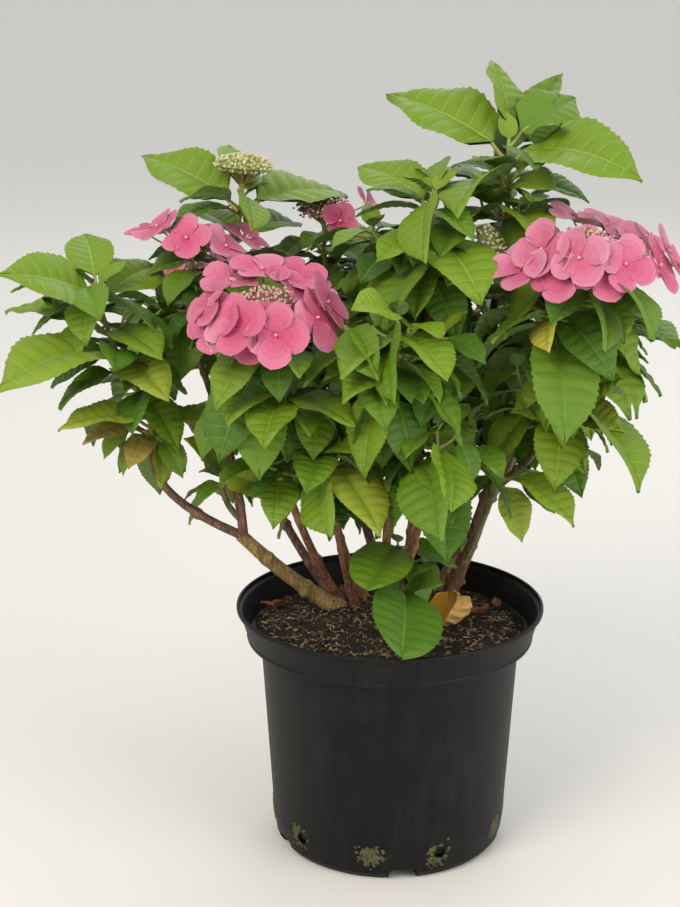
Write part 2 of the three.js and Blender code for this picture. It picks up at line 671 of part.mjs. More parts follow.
// A thin solid with a fan of outline points between a point above and a point below.
function fanSolid(outline, above, below) {
  const points = [...outline, above, below];
  const count = outline.length;
  const index = [];
  for (let k = 0; k < count; k += 1) {
    const next = (k + 1) % count;
    index.push(k, next, count, next, k, count + 1);
  }
  return toSolid(new THREE.BufferGeometry().setFromPoints(points).setIndex(index));
}

// One large floret: four broad petals as an eight-pointed cupped star that faces along normal.
function floretSolid(centre, normal, spin) {
  const first = new THREE.Vector3().crossVectors(normal, Math.abs(normal.z) > 0.9 ? new THREE.Vector3(1, 0, 0) : UP);
  first.normalize().applyAxisAngle(normal, spin);
  const outline = [];
  for (let k = 0; k < 8; k += 1) {
    const radius = k % 2 ? HEAD.floretNotch : HEAD.floretRadius;
    outline.push(first.clone().applyAxisAngle(normal, (k * Math.PI) / 4).multiplyScalar(radius)
      .add(centre).addScaledVector(normal, HEAD.floretCup));
  }
  const half = HEAD.floretThickness / 2;
  return fanSolid(
    outline,
    centre.clone().addScaledVector(normal, half),
    centre.clone().addScaledVector(normal, -half),
  );
}

function straightTwig(from, to, radius) {
  const towards = THREE.MathUtils.radToDeg(Math.atan2(to.y - from.y, to.x - from.x));
  const line = { curve: new THREE.LineCurve3(from, to), across: bearing(towards + 90, 90) };
  return bentTaper(line, { thick: radius, thin: radius, sides: 3, steps: 1 });
}

// A three-sided spike from a point to a small triangle round another point.
function spike(from, to, radius) {
  const along = to.clone().sub(from).normalize();
  const first = new THREE.Vector3().crossVectors(along, Math.abs(along.z) > 0.9 ? new THREE.Vector3(1, 0, 0) : UP);
  const points = [from];
  for (let k = 0; k < 3; k += 1) {
    const out = first.clone().normalize().applyAxisAngle(along, (k * 2 * Math.PI) / 3);
    points.push(to.clone().addScaledVector(out, radius));
  }
  return toSolid(new THREE.BufferGeometry().setFromPoints(points).setIndex([0, 2, 1, 0, 3, 2, 0, 1, 3, 1, 2, 3]));
}

// The pieces of a flower head on the end of a shoot that points along axis.
function headPieces(tip, axis, shoot, random) {
  const open = shoot.head === 'lace';
  const centre = tip.clone().addScaledVector(axis, HEAD.neck);
  const domeRadius = open ? HEAD.domeRadius : shoot.dome;
  const domeHeight = open ? HEAD.domeHeight : HEAD.budDomeHeight;
  const turn = new THREE.Quaternion().setFromUnitVectors(UP, axis);
  const dome = new THREE.SphereGeometry(1, 7, 3).rotateX(Math.PI / 2).scale(domeRadius, domeRadius, domeHeight)
    .applyQuaternion(turn).translate(centre.x, centre.y, centre.z);
  const core = [straightTwig(tip.clone().addScaledVector(axis, -4), centre, SHOOT.radius), toSolid(dome)];
  const florets = [];
  for (let i = 0; i < (open ? shoot.florets : 0); i += 1) {
    const angle = ((i + 0.3 * random()) * 2 * Math.PI) / shoot.florets;
    const out = new THREE.Vector3(Math.cos(angle), Math.sin(angle), 0).applyQuaternion(turn);
    const ring = shoot.ring * (0.92 + 0.16 * random());
    const rise = HEAD.ringRise * (random() * 2 - 0.6);
    const seat = centre.clone().addScaledVector(out, ring).addScaledVector(axis, rise);
    const tilt = radians(HEAD.floretTilt + 16 * (random() - 0.5));
    const normal = axis.clone().multiplyScalar(Math.cos(tilt)).addScaledVector(out, Math.sin(tilt)).normalize();
    const blossom = floretSolid(seat, normal, random() * Math.PI);
    florets.push({ seat, solid: spike(centre, seat, HEAD.stalkRadius).add(blossom) });
  }
  return { core, florets };
}

// Keeps what has grown: sample points of leaves and heads, which new leaves stay clear of.
function isClear(samples, taken) {
  return samples.every((sample) => taken.every((other) => sample.distanceTo(other) > SHOOT.clearance));
}

// The leaves a shoot would carry, from its tip down: a placed leaf keeps its bearings, the others follow the rule.
function plannedLeaves(shoot, random) {
  const jitter = (spread) => (random() * 2 - 1) * spread;
  const leaves = [];
  for (let pair = 0; pair < shoot.pairs; pair += 1) {
    for (let twin = 0; twin < 2; twin += 1) {
      const leaf = {
        turn: shoot.turn + 90 * pair + 180 * twin + jitter(SHOOT.turnJitter),
        rise: shoot.rise - pair * SHOOT.riseStep + jitter(SHOOT.riseJitter),
        roll: jitter(SHOOT.rollJitter),
        length: shoot.leaf * SHOOT.sizes[pair] * (1 + jitter(SHOOT.sizeJitter)),
        arch: LEAF.arch,
      };
      const placed = (shoot.placed ?? []).find((row) => row[0] === pair && row[1] === twin);
      if (placed) [leaf.turn, leaf.rise, leaf.roll, leaf.length, leaf.arch] = placed.slice(2);
      leaves.push({ ...leaf, pair, isPlaced: Boolean(placed) });
    }
  }
  return leaves;
}

// The wood of one mass, its stem and shoots with the cores of their heads, and the leaves and florets planned on it.
function startMass(mass, limbs) {
  const random = seededStream(mass.seed);
  const { curve: limb } = limbs.get(mass.limb).line;
  const foot = limb.getPoint(1);
  const hub = foot.clone().addScaledVector(limb.getTangent(1), mass.stem);
  const wood = [straightTwig(foot, hub, SHOOT.radius + 0.8)];
  const florets = [];
  const leaves = [];
  for (const shoot of mass.shoots) {
    const start = foot.clone().lerp(hub, shoot.on);
    const end = start.clone().addScaledVector(bearing(shoot.towards, shoot.lean), shoot.reach);
    const bend = start.clone().addScaledVector(bearing(shoot.towards, shoot.lean + shoot.bend), shoot.reach * 0.5);
    const curve = new THREE.QuadraticBezierCurve3(start, bend, end);
    const line = { curve, across: bearing(shoot.towards + 90, 90) };
    wood.push(bentTaper(line, { thick: SHOOT.radius, thin: SHOOT.radius * 0.8, sides: 3, steps: 2 }));
    if (shoot.head) {
      const head = headPieces(end, curve.getTangent(1), shoot, random);
      wood.push(...head.core);
      florets.push(...head.florets);
    }
    for (const leaf of plannedLeaves(shoot, random)) {
      leaves.push({ ...leaf, root: curve.getPoint(Math.max(0.02, 1 - SHOOT.nodes[leaf.pair] / shoot.reach)) });
    }
  }
  leaves.sort((a, b) => Number(b.isPlaced) - Number(a.isPlaced));
  const skins = [...limbs.values()].map(({ skin }) => skin);
  const clear = largestBody(skins.reduce((left, skin) => (touches(left, skin) ? left.subtract(skin) : left), joined(wood)));
  return { name: mass.name, room: mass.room, hub, florets, leaves, wood: clear };
}

// One mass as a solid. A leaf or floret that touches a limb or another mass, and a leaf that would leave the mass's
// room or crowd an earlier leaf, is turned aside a little or skipped.
function fillMass({ wood, florets, leaves, hub, room }, others, taken) {
  const isFree = (solid) => others.every((other) => !touches(solid, other));
  const parts = [wood];
  for (const { solid, seat } of florets) {
    if (!isFree(solid)) continue;
    parts.push(solid);
    taken.push(seat);
  }
  for (const leaf of leaves) {
    for (const retry of SHOOT.retries) {
      const frame = leafFrame(leaf.root, { ...leaf, turn: leaf.turn + retry, rise: leaf.rise - Math.abs(retry) / 3 });
      const samples = leafSamples(frame);
      if (samples.some((sample) => sample.distanceTo(hub) > room)) continue;
      if (!leaf.isPlaced && !isClear(samples, taken)) continue;
      const solid = leafSolid(frame, !leaf.isPlaced);
      if (isFree(solid)) {
        parts.push(solid);
        taken.push(...samples);
        break;
      }
      solid.delete();
    }
  }
  return largestBody(joined(parts));
}

// The withered leaf: a small curled blade, lowered until it rests on the compost.
function witheredLeaf() {
  const rooted = (height) => leafSolid(leafFrame(new THREE.Vector3(...WITHERED.at, height), WITHERED));
  return rooted(SOIL_TOP + GAP - rooted(0).boundingBox().min[2]);
}

function node(name, solid, colour) {
  const material = new THREE.MeshStandardMaterial({ ...COLOURS[colour], metalness: 0 });
  const mesh = new THREE.Mesh(toGeometry(solid), material);
  mesh.name = name;
  return mesh;
}

const plant = new THREE.Group();
plant.name = 'potted_hydrangea';
plant.add(node('pot', potSolid(), 'pot'));
plant.add(node('compost', compostSolid(), 'compost'));

const limbs = growLimbs();
for (const [name, limb] of limbs) plant.add(node(name, limb.solid, 'bark'));

const skins = [...limbs.values()].map(({ skin }) => skin);
const masses = MASSES.map((mass) => startMass(mass, limbs));
const taken = [];
masses.forEach((mass, place) => {
  const others = [...skins, ...masses.filter((other) => other !== mass).map(({ wood }) => wood)];
  masses[place].wood = fillMass(mass, others, taken);
  plant.add(node(mass.name, mass.wood, 'foliage'));
});
plant.add(node('withered_leaf', witheredLeaf(), 'withered'));

export default plant;
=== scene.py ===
"""A lacecap hydrangea in a ten litre nursery pot.

The plant is grown by the same rule as its solids: canes and boughs from named sizes, shoots with crossed
pairs of leaves, and flat flower heads. The rule is carried on here to finer side twigs, veined leaves and
petalled florets. Sizes of the rule are in millimetres, and meshes are made in metres. -Y is the side with the
most flowers.
"""

import logging
from collections.abc import Callable
from dataclasses import dataclass, field, replace
from enum import Enum
from math import cos, exp, hypot, pi, radians, sin, sqrt

import bpy
import numpy as np
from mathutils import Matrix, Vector, kdtree, noise


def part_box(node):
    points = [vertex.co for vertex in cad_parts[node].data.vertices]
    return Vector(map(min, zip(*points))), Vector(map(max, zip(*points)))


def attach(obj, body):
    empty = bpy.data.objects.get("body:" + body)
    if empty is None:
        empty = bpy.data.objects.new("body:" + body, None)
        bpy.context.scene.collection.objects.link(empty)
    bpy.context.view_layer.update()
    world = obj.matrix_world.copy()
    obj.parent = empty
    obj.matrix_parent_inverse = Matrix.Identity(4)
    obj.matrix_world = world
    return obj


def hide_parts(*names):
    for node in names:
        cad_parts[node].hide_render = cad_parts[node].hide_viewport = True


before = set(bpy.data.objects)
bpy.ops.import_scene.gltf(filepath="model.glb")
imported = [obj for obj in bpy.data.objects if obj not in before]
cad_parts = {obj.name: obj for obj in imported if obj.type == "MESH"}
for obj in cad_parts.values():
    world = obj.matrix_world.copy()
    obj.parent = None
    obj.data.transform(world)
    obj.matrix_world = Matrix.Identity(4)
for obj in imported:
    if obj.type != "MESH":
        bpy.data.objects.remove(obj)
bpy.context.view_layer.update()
LOG = logging.getLogger("hydrangea")

Array, Luck, norm = np.ndarray, np.random.Generator, np.linalg.norm
Piece, Tree, Node, Socket = bpy.types.Object, bpy.types.NodeTree, bpy.types.Node, bpy.types.NodeSocket
Profile = list[tuple[float, float]]

MM = 0.001
GAP = 0.3
UP, RIGHT = np.array((0.0, 0.0, 1.0)), np.array((1.0, 0.0, 0.0))


# Finishes


def linear(hex_colour: str) -> tuple[float, float, float, float]:
    """Turns an sRGB hex colour into linear light.

    Args:
        hex_colour: Six hex digits, with or without a leading hash.

    Returns:
        Red, green, blue and full alpha.
    """
    digits = hex_colour.lstrip("#")
    values = [int(digits[k:k + 2], 16) / 255 for k in (0, 2, 4)]
    return (*(v / 12.92 if v <= 0.04045 else ((v + 0.055) / 1.055) ** 2.4 for v in values), 1.0)


def per_mm(millimetres: float) -> float:
    """The texture scale whose features are about this many millimetres wide."""
    return 1 / (millimetres * MM)


def connect(tree: Tree, node: Node, inputs: dict) -> None:
    """Sets or links the inputs of a node.

    Args:
        tree: The tree that holds it.
        node: The node.
        inputs: By input name or number: a value, an output socket, or a node whose first live output is meant.
    """
    for key, value in inputs.items():
        if isinstance(value, Node):
            value = next(output for output in value.outputs if output.enabled)
        if isinstance(value, Socket):
            tree.links.new(value, node.inputs[key])
        else:
            node.inputs[key].default_value = value


def add_node(tree: Tree, kind: str, inputs: dict | None = None, **settings: object) -> Node:
    """Adds a node with its settings, values and links.

    Args:
        tree: The tree that gets the node.
        kind: The node's type, without its family where that is the tree's own.
        inputs: What its inputs get, as in connect.
        settings: The node's own properties.

    Returns:
        The new node.
    """
    family = "ShaderNode" if isinstance(tree, bpy.types.ShaderNodeTree) else "GeometryNode"
    node = tree.nodes.new(kind if "Node" in kind else family + kind)
    for key, value in settings.items():
        setattr(node, key, value)
    connect(tree, node, inputs or {})
    return node


def place(tree: Tree, stretch: tuple = (1, 1, 1)) -> Node:
    """The object's own coordinates, with the pattern drawn out along an axis where its number is below 1."""
    return add_node(tree, "Mapping", {"Vector": add_node(tree, "TexCoord").outputs["Object"], "Scale": stretch})


def colour_stops(ramp: Node, *stops: tuple[float, str]) -> Node:
    """Gives a colour ramp its stops.

    Args:
        ramp: The ramp's node.
        stops: Positions and hex colours.

    Returns:
        The same node.
    """
    elements = ramp.color_ramp.elements
    while len(elements) < len(stops):
        elements.new(0.5)
    for element, (position, colour) in zip(elements, stops):
        element.position = position
        element.color = linear(colour)
    return ramp


@dataclass(frozen=True)
class Finish:
    """A real material: its name, main colour and gloss. Each kind of finish adds its own pattern."""

    name: str
    colour: str
    roughness: float = 0.6
    ior: float = 1.42

    def make(self) -> bpy.types.Material:
        """Makes the material, the first time it is asked for.

        Returns:
            The material.
        """
        material = bpy.data.materials.get(self.name)
        if material is None:
            material = bpy.data.materials.new(self.name)
            material.use_nodes = True
            material.diffuse_color = linear(self.colour)
            tree = material.node_tree
            shader = tree.nodes["Principled BSDF"]
            connect(tree, shader, {"Base Color": linear(self.colour), "Roughness": self.roughness})
            connect(tree, shader, {"IOR": self.ior, **self.pattern(tree)})
        return material

    def pattern(self, tree: Tree) -> dict:
        """What this kind of finish gives the shader's inputs. A plain finish adds nothing."""
        return {}


@dataclass(frozen=True)
class MouldedPolypropylene(Finish):
    """Black injection moulded polypropylene: satin, with a fine grain, dry water marks and grey compost dust."""

    dust: str = "#4E4F4D"
    dust_share: float = 0.1

    def pattern(self, tree: Tree) -> dict:
        """Dust in clouds, runs down the wall, and a fine moulded grain.

        Args:
            tree: The material's tree.

        Returns:
            What the shader's inputs get.
        """
        at = place(tree)
        down = place(tree, (1, 1, 0.12))
        clouds = add_node(tree, "TexNoise", {"Vector": at, "Scale": per_mm(46), "Detail": 6, "Roughness": 0.62})
        runs = add_node(tree, "TexNoise", {"Vector": down, "Scale": per_mm(9), "Detail": 4, "Roughness": 0.6})
        specks = add_node(tree, "TexNoise", {"Vector": at, "Scale": per_mm(1.8), "Detail": 2})
        both = add_node(tree, "Math", {0: clouds, 1: runs}, operation="MULTIPLY")
        most = self.dust_share
        dusty = add_node(tree, "MapRange", {0: both, "From Min": 0.2, "From Max": 0.46, "To Max": most})
        dotted = add_node(tree, "MapRange", {0: specks, "From Min": 0.7, "From Max": 0.8, "To Max": 0.22})
        share = add_node(tree, "Math", {0: dusty, 1: dotted}, operation="ADD", use_clamp=True)
        skin = add_node(tree, "Mix", {0: share, 6: linear(self.colour), 7: linear(self.dust)}, data_type="RGBA")
        gloss = add_node(tree, "MapRange", {0: share, "From Max": 0.6, "To Min": self.roughness, "To Max": 0.86})
        grain = add_node(tree, "TexNoise", {"Vector": at, "Scale": per_mm(1.1), "Detail": 3, "Roughness": 0.6})
        bump = add_node(tree, "Bump", {"Height": grain, "Distance": 0.12 * MM, "Strength": 0.5})
        return {"Base Color": skin, "Roughness": gloss, "Normal": bump}


@dataclass(frozen=True)
class PeatCompost(Finish):
    """Damp peat compost: nearly black crumbs with tan fibres, dull all over."""

    crumb: str = "#0C0805"
    pale_crumb: str = "#3C2E1F"
    clod: str = "#4A3A28"
    fibre: str = "#75603F"

    def pattern(self, tree: Tree) -> dict:
        """Crumbs a few millimetres wide, paler dry clods and short tan fibres.

        Args:
            tree: The material's tree.

        Returns:
            What the shader's inputs get.
        """
        at = place(tree)
        across = place(tree, (0.35, 1.6, 1))
        crumbs = add_node(tree, "TexNoise", {"Vector": at, "Scale": per_mm(3.2), "Detail": 6, "Roughness": 0.7})
        soil = colour_stops(add_node(tree, "ValToRGB", {0: crumbs}), (0.32, self.crumb), (0.55, self.colour),
                            (0.74, self.pale_crumb))
        clods = add_node(tree, "TexNoise", {"Vector": at, "Scale": per_mm(22), "Detail": 3})
        dryness = add_node(tree, "MapRange", {0: clods, "From Min": 0.52, "From Max": 0.7, "To Max": 0.45})
        dry = add_node(tree, "Mix", {0: dryness, 6: soil, 7: linear(self.clod)}, data_type="RGBA")
        strands = add_node(tree, "TexNoise", {"Vector": across, "Scale": per_mm(2.4), "Detail": 2})
        share = add_node(tree, "MapRange", {0: strands, "From Min": 0.68, "From Max": 0.74, "To Max": 0.8})
        bump = add_node(tree, "Bump", {"Height": crumbs, "Distance": 1.6 * MM, "Strength": 0.9})
        mixed = add_node(tree, "Mix", {0: share, 6: dry, 7: linear(self.fibre)}, data_type="RGBA")
        return {"Base Color": mixed, "Normal": bump}


@dataclass(frozen=True)
class CaneBark(Finish):
    """Hydrangea bark: papery and dull, in long thin flakes over a darker ground, with small pale lenticels."""

    ground: str = "#4A3524"
    flake: str = "#A08A64"
    lenticel: str = "#C0AC86"

    def pattern(self, tree: Tree) -> dict:
        """Flakes run along the cane, two or three millimetres wide and some ten times as long.

        Args:
            tree: The material's tree.

        Returns:
            What the shader's inputs get.
        """
        long, slow, oval = (place(tree, (1, 1, share)) for share in (0.12, 0.4, 0.55))
        ground = linear(self.ground)
        flakes = add_node(tree, "TexNoise", {"Vector": long, "Scale": per_mm(2.2), "Detail": 5, "Roughness": 0.65})
        bark = colour_stops(add_node(tree, "ValToRGB", {0: flakes}), (0.34, self.ground), (0.52, self.colour),
                            (0.7, self.flake))
        patches = add_node(tree, "TexNoise", {"Vector": slow, "Scale": per_mm(14), "Detail": 3})
        depth = add_node(tree, "MapRange", {0: patches, "From Min": 0.42, "From Max": 0.66, "To Max": 0.5})
        shaded = add_node(tree, "Mix", {0: depth, 6: bark, 7: ground}, data_type="RGBA")
        pores = add_node(tree, "TexVoronoi", {"Vector": oval, "Scale": per_mm(4.2)})
        dots = add_node(tree, "MapRange", {0: pores, "From Min": 0.16, "From Max": 0.1, "To Max": 0.6})
        mixed = add_node(tree, "Mix", {0: dots, 6: shaded, 7: linear(self.lenticel)}, data_type="RGBA")
        bump = add_node(tree, "Bump", {"Height": flakes, "Distance": 0.5 * MM, "Strength": 0.9})
        return {"Base Color": mixed, "Normal": bump}


@dataclass(frozen=True)
class YoungStem(Finish):
    """A soft green stem of this year, smooth, with a flush of red and short dark flecks."""

    flush: str = "#8B6A42"
    fleck: str = "#3F3A1E"

    def pattern(self, tree: Tree) -> dict:
        """The flush comes and goes over a few centimetres, and flecks run along the stem.

        Args:
            tree: The material's tree.

        Returns:
            What the shader's inputs get.
        """
        along = place(tree, (1, 1, 0.3))
        cloud = add_node(tree, "TexNoise", {"Vector": place(tree), "Scale": per_mm(30), "Detail": 3})
        share = add_node(tree, "MapRange", {0: cloud, "From Min": 0.42, "From Max": 0.66, "To Max": 0.7})
        green, red = linear(self.colour), linear(self.flush)
        tinted = add_node(tree, "Mix", {0: share, 6: green, 7: red}, data_type="RGBA")
        flecks = add_node(tree, "TexNoise", {"Vector": along, "Scale": per_mm(1.3), "Detail": 2})
        dark = add_node(tree, "MapRange", {0: flecks, "From Min": 0.62, "From Max": 0.7, "To Max": 0.45})
        mixed = add_node(tree, "Mix", {0: dark, 6: tinted, 7: linear(self.fleck)}, data_type="RGBA")
        bump = add_node(tree, "Bump", {"Height": flecks, "Distance": 0.2 * MM, "Strength": 0.5})
        return {"Base Color": mixed, "Normal": bump}


@dataclass(frozen=True)
class LeafSkin(Finish):
    """The skin of a broad soft leaf: satin, finely netted with veins. Its tint is one plain colour a leaf."""

    roughness: float = 0.5
    ior: float = 1.36
    net: float = 0.22

    def pattern(self, tree: Tree) -> dict:
        """Only the net of small veins, two to three millimetres a mesh, raised between them.

        Args:
            tree: The material's tree.

        Returns:
            What the shader's inputs get.
        """
        cells = {"Vector": place(tree), "Scale": per_mm(2.6), "Randomness": 1.0}
        net = add_node(tree, "TexVoronoi", cells, feature="DISTANCE_TO_EDGE").outputs["Distance"]
        height = add_node(tree, "MapRange", {0: net, "From Max": 0.22})
        return {"Normal": add_node(tree, "Bump", {"Height": height, "Distance": self.net * MM, "Strength": 0.7})}


@dataclass(frozen=True)
class PetalSkin(Finish):
    """A thin silky sepal, faintly crinkled."""

    def pattern(self, tree: Tree) -> dict:
        """A faint crinkle, a millimetre or two wide, and a silky sheen.

        Args:
            tree: The material's tree.

        Returns:
            What the shader's inputs get.
        """
        at = place(tree)
        folds = add_node(tree, "TexNoise", {"Vector": at, "Scale": per_mm(1.8), "Detail": 3, "Roughness": 0.6})
        bump = add_node(tree, "Bump", {"Height": folds, "Distance": 0.25 * MM, "Strength": 0.5})
        return {"Sheen Weight": 0.12, "Sheen Roughness": 0.4, "Normal": bump}


@dataclass(frozen=True)
class DryScrap(Finish):
    """Dead leaf and bark scraps: dull, blotched and wrinkled."""

    blotch: str = "#6A3E1C"

    def pattern(self, tree: Tree) -> dict:
        """Blotches a few millimetres wide and fine wrinkles.

        Args:
            tree: The material's tree.

        Returns:
            What the shader's inputs get.
        """
        at = place(tree)
        blots = add_node(tree, "TexNoise", {"Vector": at, "Scale": per_mm(5), "Detail": 4, "Roughness": 0.6})
        share = add_node(tree, "MapRange", {0: blots, "From Min": 0.5, "From Max": 0.66, "To Max": 0.75})
        plain, dark = linear(self.colour), linear(self.blotch)
        mixed = add_node(tree, "Mix", {0: share, 6: plain, 7: dark}, data_type="RGBA")
        folds = add_node(tree, "TexNoise", {"Vector": at, "Scale": per_mm(1.4), "Detail": 4, "Roughness": 0.65})
        bump = add_node(tree, "Bump", {"Height": folds, "Distance": 0.4 * MM, "Strength": 0.8})
        return {"Base Color": mixed, "Normal": bump}


class Tint(Enum):
    """The tints of whole leaves, each a finish for the upper side. Beside the leaves' own range of greens, the
    darker steps also serve as painted shade and the lighter ones as painted light.
    """

    BRIGHT = LeafSkin("leaf_bright_green", "#668318")
    FRESH = LeafSkin("leaf_fresh_green", "#718A20")
    MID = LeafSkin("leaf_mid_green", "#587816")
    DEEP = LeafSkin("leaf_deep_green", "#456814")
    SHADE = LeafSkin("leaf_shade_green", "#33540F")
    LIME = LeafSkin("leaf_lime", "#87962C")
    YELLOW = LeafSkin("leaf_yellow_green", "#A8A43C")
    BRONZE = LeafSkin("leaf_bronze", "#98843F")


BRIGHT, FRESH, MID, DEEP, SHADE, LIME, YELLOW, BRONZE = Tint
UNDERSIDE = LeafSkin("leaf_underside_green", "#6F8A48", 0.6, net=0.3)
VEIN = LeafSkin("leaf_vein_pale_green", "#7C993A", net=0.05)
DEEP_VEIN = LeafSkin("leaf_vein_green", "#597D2C", net=0.05)
TAN_VEIN = LeafSkin("leaf_vein_tan", "#B59A5A", net=0.05)
VEINS = {BRIGHT: VEIN, FRESH: VEIN, LIME: VEIN, YELLOW: VEIN, MID: DEEP_VEIN, DEEP: DEEP_VEIN, SHADE: DEEP_VEIN,
         BRONZE: TAN_VEIN}
LADDER = [SHADE, DEEP, MID, BRIGHT, FRESH]
LEAF_STALK = YoungStem("leaf_stalk_green", "#8FA64E", 0.45, flush="#9C6A48")
SHOOT_STEM = YoungStem("shoot_stem_green", "#7E8F42", 0.5, flush="#8A6A40")
SEPAL_TONES = [PetalSkin(f"sepal_pink_{step}", tone) for step, tone in enumerate((
    "#AE3A64", "#B2456A", "#B55071", "#B85B79", "#BB6682", "#BE728C", "#C27F97"))]
# The sepals' backs are a paler pink, brightened further with painted light: the glow of light shining through the
# thin sepals.
SEPAL_BACK_PAINTED_LIGHT = PetalSkin("sepal_back_pale", "#DC9AAC")
BUD_CREAM = PetalSkin("flower_bud_cream", "#C6B896")
BUD_PINK = PetalSkin("flower_bud_pink", "#C88C94")
BUD_GREEN = PetalSkin("flower_bud_green", "#A3AC68")
OPEN_BED = LeafSkin("open_flower_bed", "#7A5E4C", 0.7)
GREEN_BED = LeafSkin("green_bud_bed", "#7F8650", 0.7)
EYE = PetalSkin("sepal_eye_cream", "#DDA3AC")
POT_PLASTIC = MouldedPolypropylene("black_moulded_polypropylene", "#060607", 0.5, 1.3)
PEAT = PeatCompost("damp_peat_compost", "#1C140E", 0.95)
BARK_CHIP = DryScrap("composted_bark_chip", "#54422E", 0.9, blotch="#2A1D14")
PALE_CHIP = DryScrap("dry_bark_chip", "#8A7454", 0.9, blotch="#4E3A26")
FIBRE = DryScrap("coir_fibre", "#A3926E", 0.85, blotch="#6C5A3E")
PERLITE = Finish("perlite_grit", "#B9B4A4", 0.9)
PEAT_CRUMB = DryScrap("compost_crumb", "#2B2019", 0.95, blotch="#120C08")
DRY_LEAF = DryScrap("withered_leaf_orange", "#F0BC4A", 0.6, blotch="#D89A3E")
DRY_UNDER = DryScrap("withered_leaf_back", "#E8BC6C", 0.7, blotch="#C6944E")
SCRAP = DryScrap("fallen_leaf_scrap_brown", "#7A4E2C", 0.85, blotch="#4A2B17")
CUT_WOOD = DryScrap("weathered_cut_wood", "#A79067", 0.85, blotch="#6E5A3C")
MOSS = DryScrap("green_moss", "#4A5228", 0.95, blotch="#30371A")
SILT = DryScrap("dry_silt_crust", "#55503C", 0.95, blotch="#383325")


class Bark(Enum):
    """The barks of the canes: older wood is tan or brown, last year's wood is reddish."""

    TAN = CaneBark("cane_bark_tan", "#9C8250", 0.8, ground="#66522F", flake="#C2A86E")
    BROWN = CaneBark("cane_bark_brown", "#795943", 0.85, ground="#47332A", flake="#A07C60")
    RED = CaneBark("cane_bark_reddish", "#9A684C", 0.8, ground="#643C2A", flake="#C0946F")
    GREEN = CaneBark("cane_bark_olive", "#76744A", 0.75, ground="#4E4A2C", flake="#94905C")


# Meshes


def link(piece: Piece) -> None:
    """Puts an object in the scene."""
    bpy.context.scene.collection.objects.link(piece)


class MeshParts:
    """Collects closed pieces of mesh in metres, with a finish for each face, and joins them as one object."""

    def __init__(self) -> None:
        """Starts empty."""
        self.points: list[Array] = []
        self.faces: list[Array] = []
        self.slots: list[Array] = []
        self.finishes: list[Finish] = []
        self.count = 0

    def slot(self, finish: Finish) -> int:
        """The number of the finish in this mesh, added if it is new.

        Args:
            finish: The finish.

        Returns:
            The number.
        """
        if finish not in self.finishes:
            self.finishes.append(finish)
        return self.finishes.index(finish)

    def add(self, points: Array, faces: Array | list[Array], finish: Finish | list[Finish],
            zones: Array | None = None) -> None:
        """Adds one piece.

        Args:
            points: Corners in millimetres, one row each.
            faces: Corner numbers, one row a face: a table, or a list of tables of three or four corners a face.
            finish: One finish, or several: one for each table, or those that zones chooses among.
            zones: The number of the finish of each face.
        """
        tables = faces if isinstance(faces, list) else [faces]
        kinds = finish if isinstance(finish, list) else [finish] * len(tables)
        numbers = np.array([self.slot(kind) for kind in kinds])
        self.slots += [numbers[zones]] if zones is not None else [
            np.full(len(table), number) for table, number in zip(tables, numbers)]
        self.faces += [table + self.count for table in tables]
        self.points.append(points * MM)
        self.count += len(points)

    def build(self, name: str, sharp: float = 50) -> Piece:
        """Makes the object.

        Args:
            name: The object's name.
            sharp: Edges that turn more than this many degrees stay crisp.

        Returns:
            The linked object, at the origin.
        """
        points = np.concatenate(self.points)
        corners = np.concatenate([face.ravel() for face in self.faces])
        sizes = np.concatenate([np.full(len(face), face.shape[1]) for face in self.faces])
        mesh = bpy.data.meshes.new(name)
        mesh.vertices.add(len(points))
        mesh.vertices.foreach_set("co", points.astype(np.float32).ravel())
        mesh.loops.add(len(corners))
        mesh.loops.foreach_set("vertex_index", corners.astype(np.int32))
        mesh.polygons.add(len(sizes))
        mesh.polygons.foreach_set("loop_start", np.concatenate(([0], np.cumsum(sizes)[:-1])).astype(np.int32))
        mesh.polygons.foreach_set("material_index", np.concatenate(self.slots).astype(np.int32))
        for finish in self.finishes:
            mesh.materials.append(finish.make())
        mesh.update(calc_edges=True)
        mesh.polygons.foreach_set("use_smooth", np.ones(len(sizes), dtype=bool))
        mesh.set_sharp_from_angle(angle=radians(sharp))
        piece = bpy.data.objects.new(name, mesh)
        link(piece)
        return piece


def grid_faces(rows: int, columns: int, wrap: bool = False) -> Array:
    """The four-cornered faces of a grid of points, numbered row by row.

    Args:
        rows: Rows of points.
        columns: Points in a row.
        wrap: Whether the last column joins the first.

    Returns:
        One row of four corner numbers a face.
    """
    across = columns if wrap else columns - 1
    row, column = np.meshgrid(np.arange(rows - 1), np.arange(across), indexing="ij")
    a = row * columns + column
    b = row * columns + (column + 1) % columns
    return np.stack((a, b, b + columns, a + columns), -1).reshape(-1, 4)


def shell(rows: int, columns: int) -> tuple[Array, Array]:
    """A thin closed shell over a grid of points: both sides share its rim, and its inner points are doubled.

    Args:
        rows: Rows of points.
        columns: Points in a row.

    Returns:
        Which points are doubled, and the faces of the upper side and then of the lower one.
    """
    inner = np.zeros((rows, columns), dtype=bool)
    inner[1:-1, 1:-1] = True
    inner = inner.ravel()
    under = np.arange(inner.size)
    under[inner] = inner.size + np.arange(inner.sum())
    quads = grid_faces(rows, columns)
    halves = np.concatenate((quads[:, :3], quads[:, [0, 2, 3]]))
    return inner, np.concatenate((halves[:, ::-1], under[halves]))


def closed(rings: int, sides: int) -> list[Array]:
    """The faces of a closed round body.

    Args:
        rings: Its rings of points, numbered from the lower one. After them come the middles of its two ends.
        sides: Points in a ring.

    Returns:
        Its side, its lower end and its upper end.
    """
    around = np.arange(sides)
    after = (around + 1) % sides
    middle = np.full(sides, rings * sides)
    last = (rings - 1) * sides
    return [grid_faces(rings, sides, wrap=True), np.stack((middle, after, around), -1),
            np.stack((middle + 1, last + around, last + after), -1)]


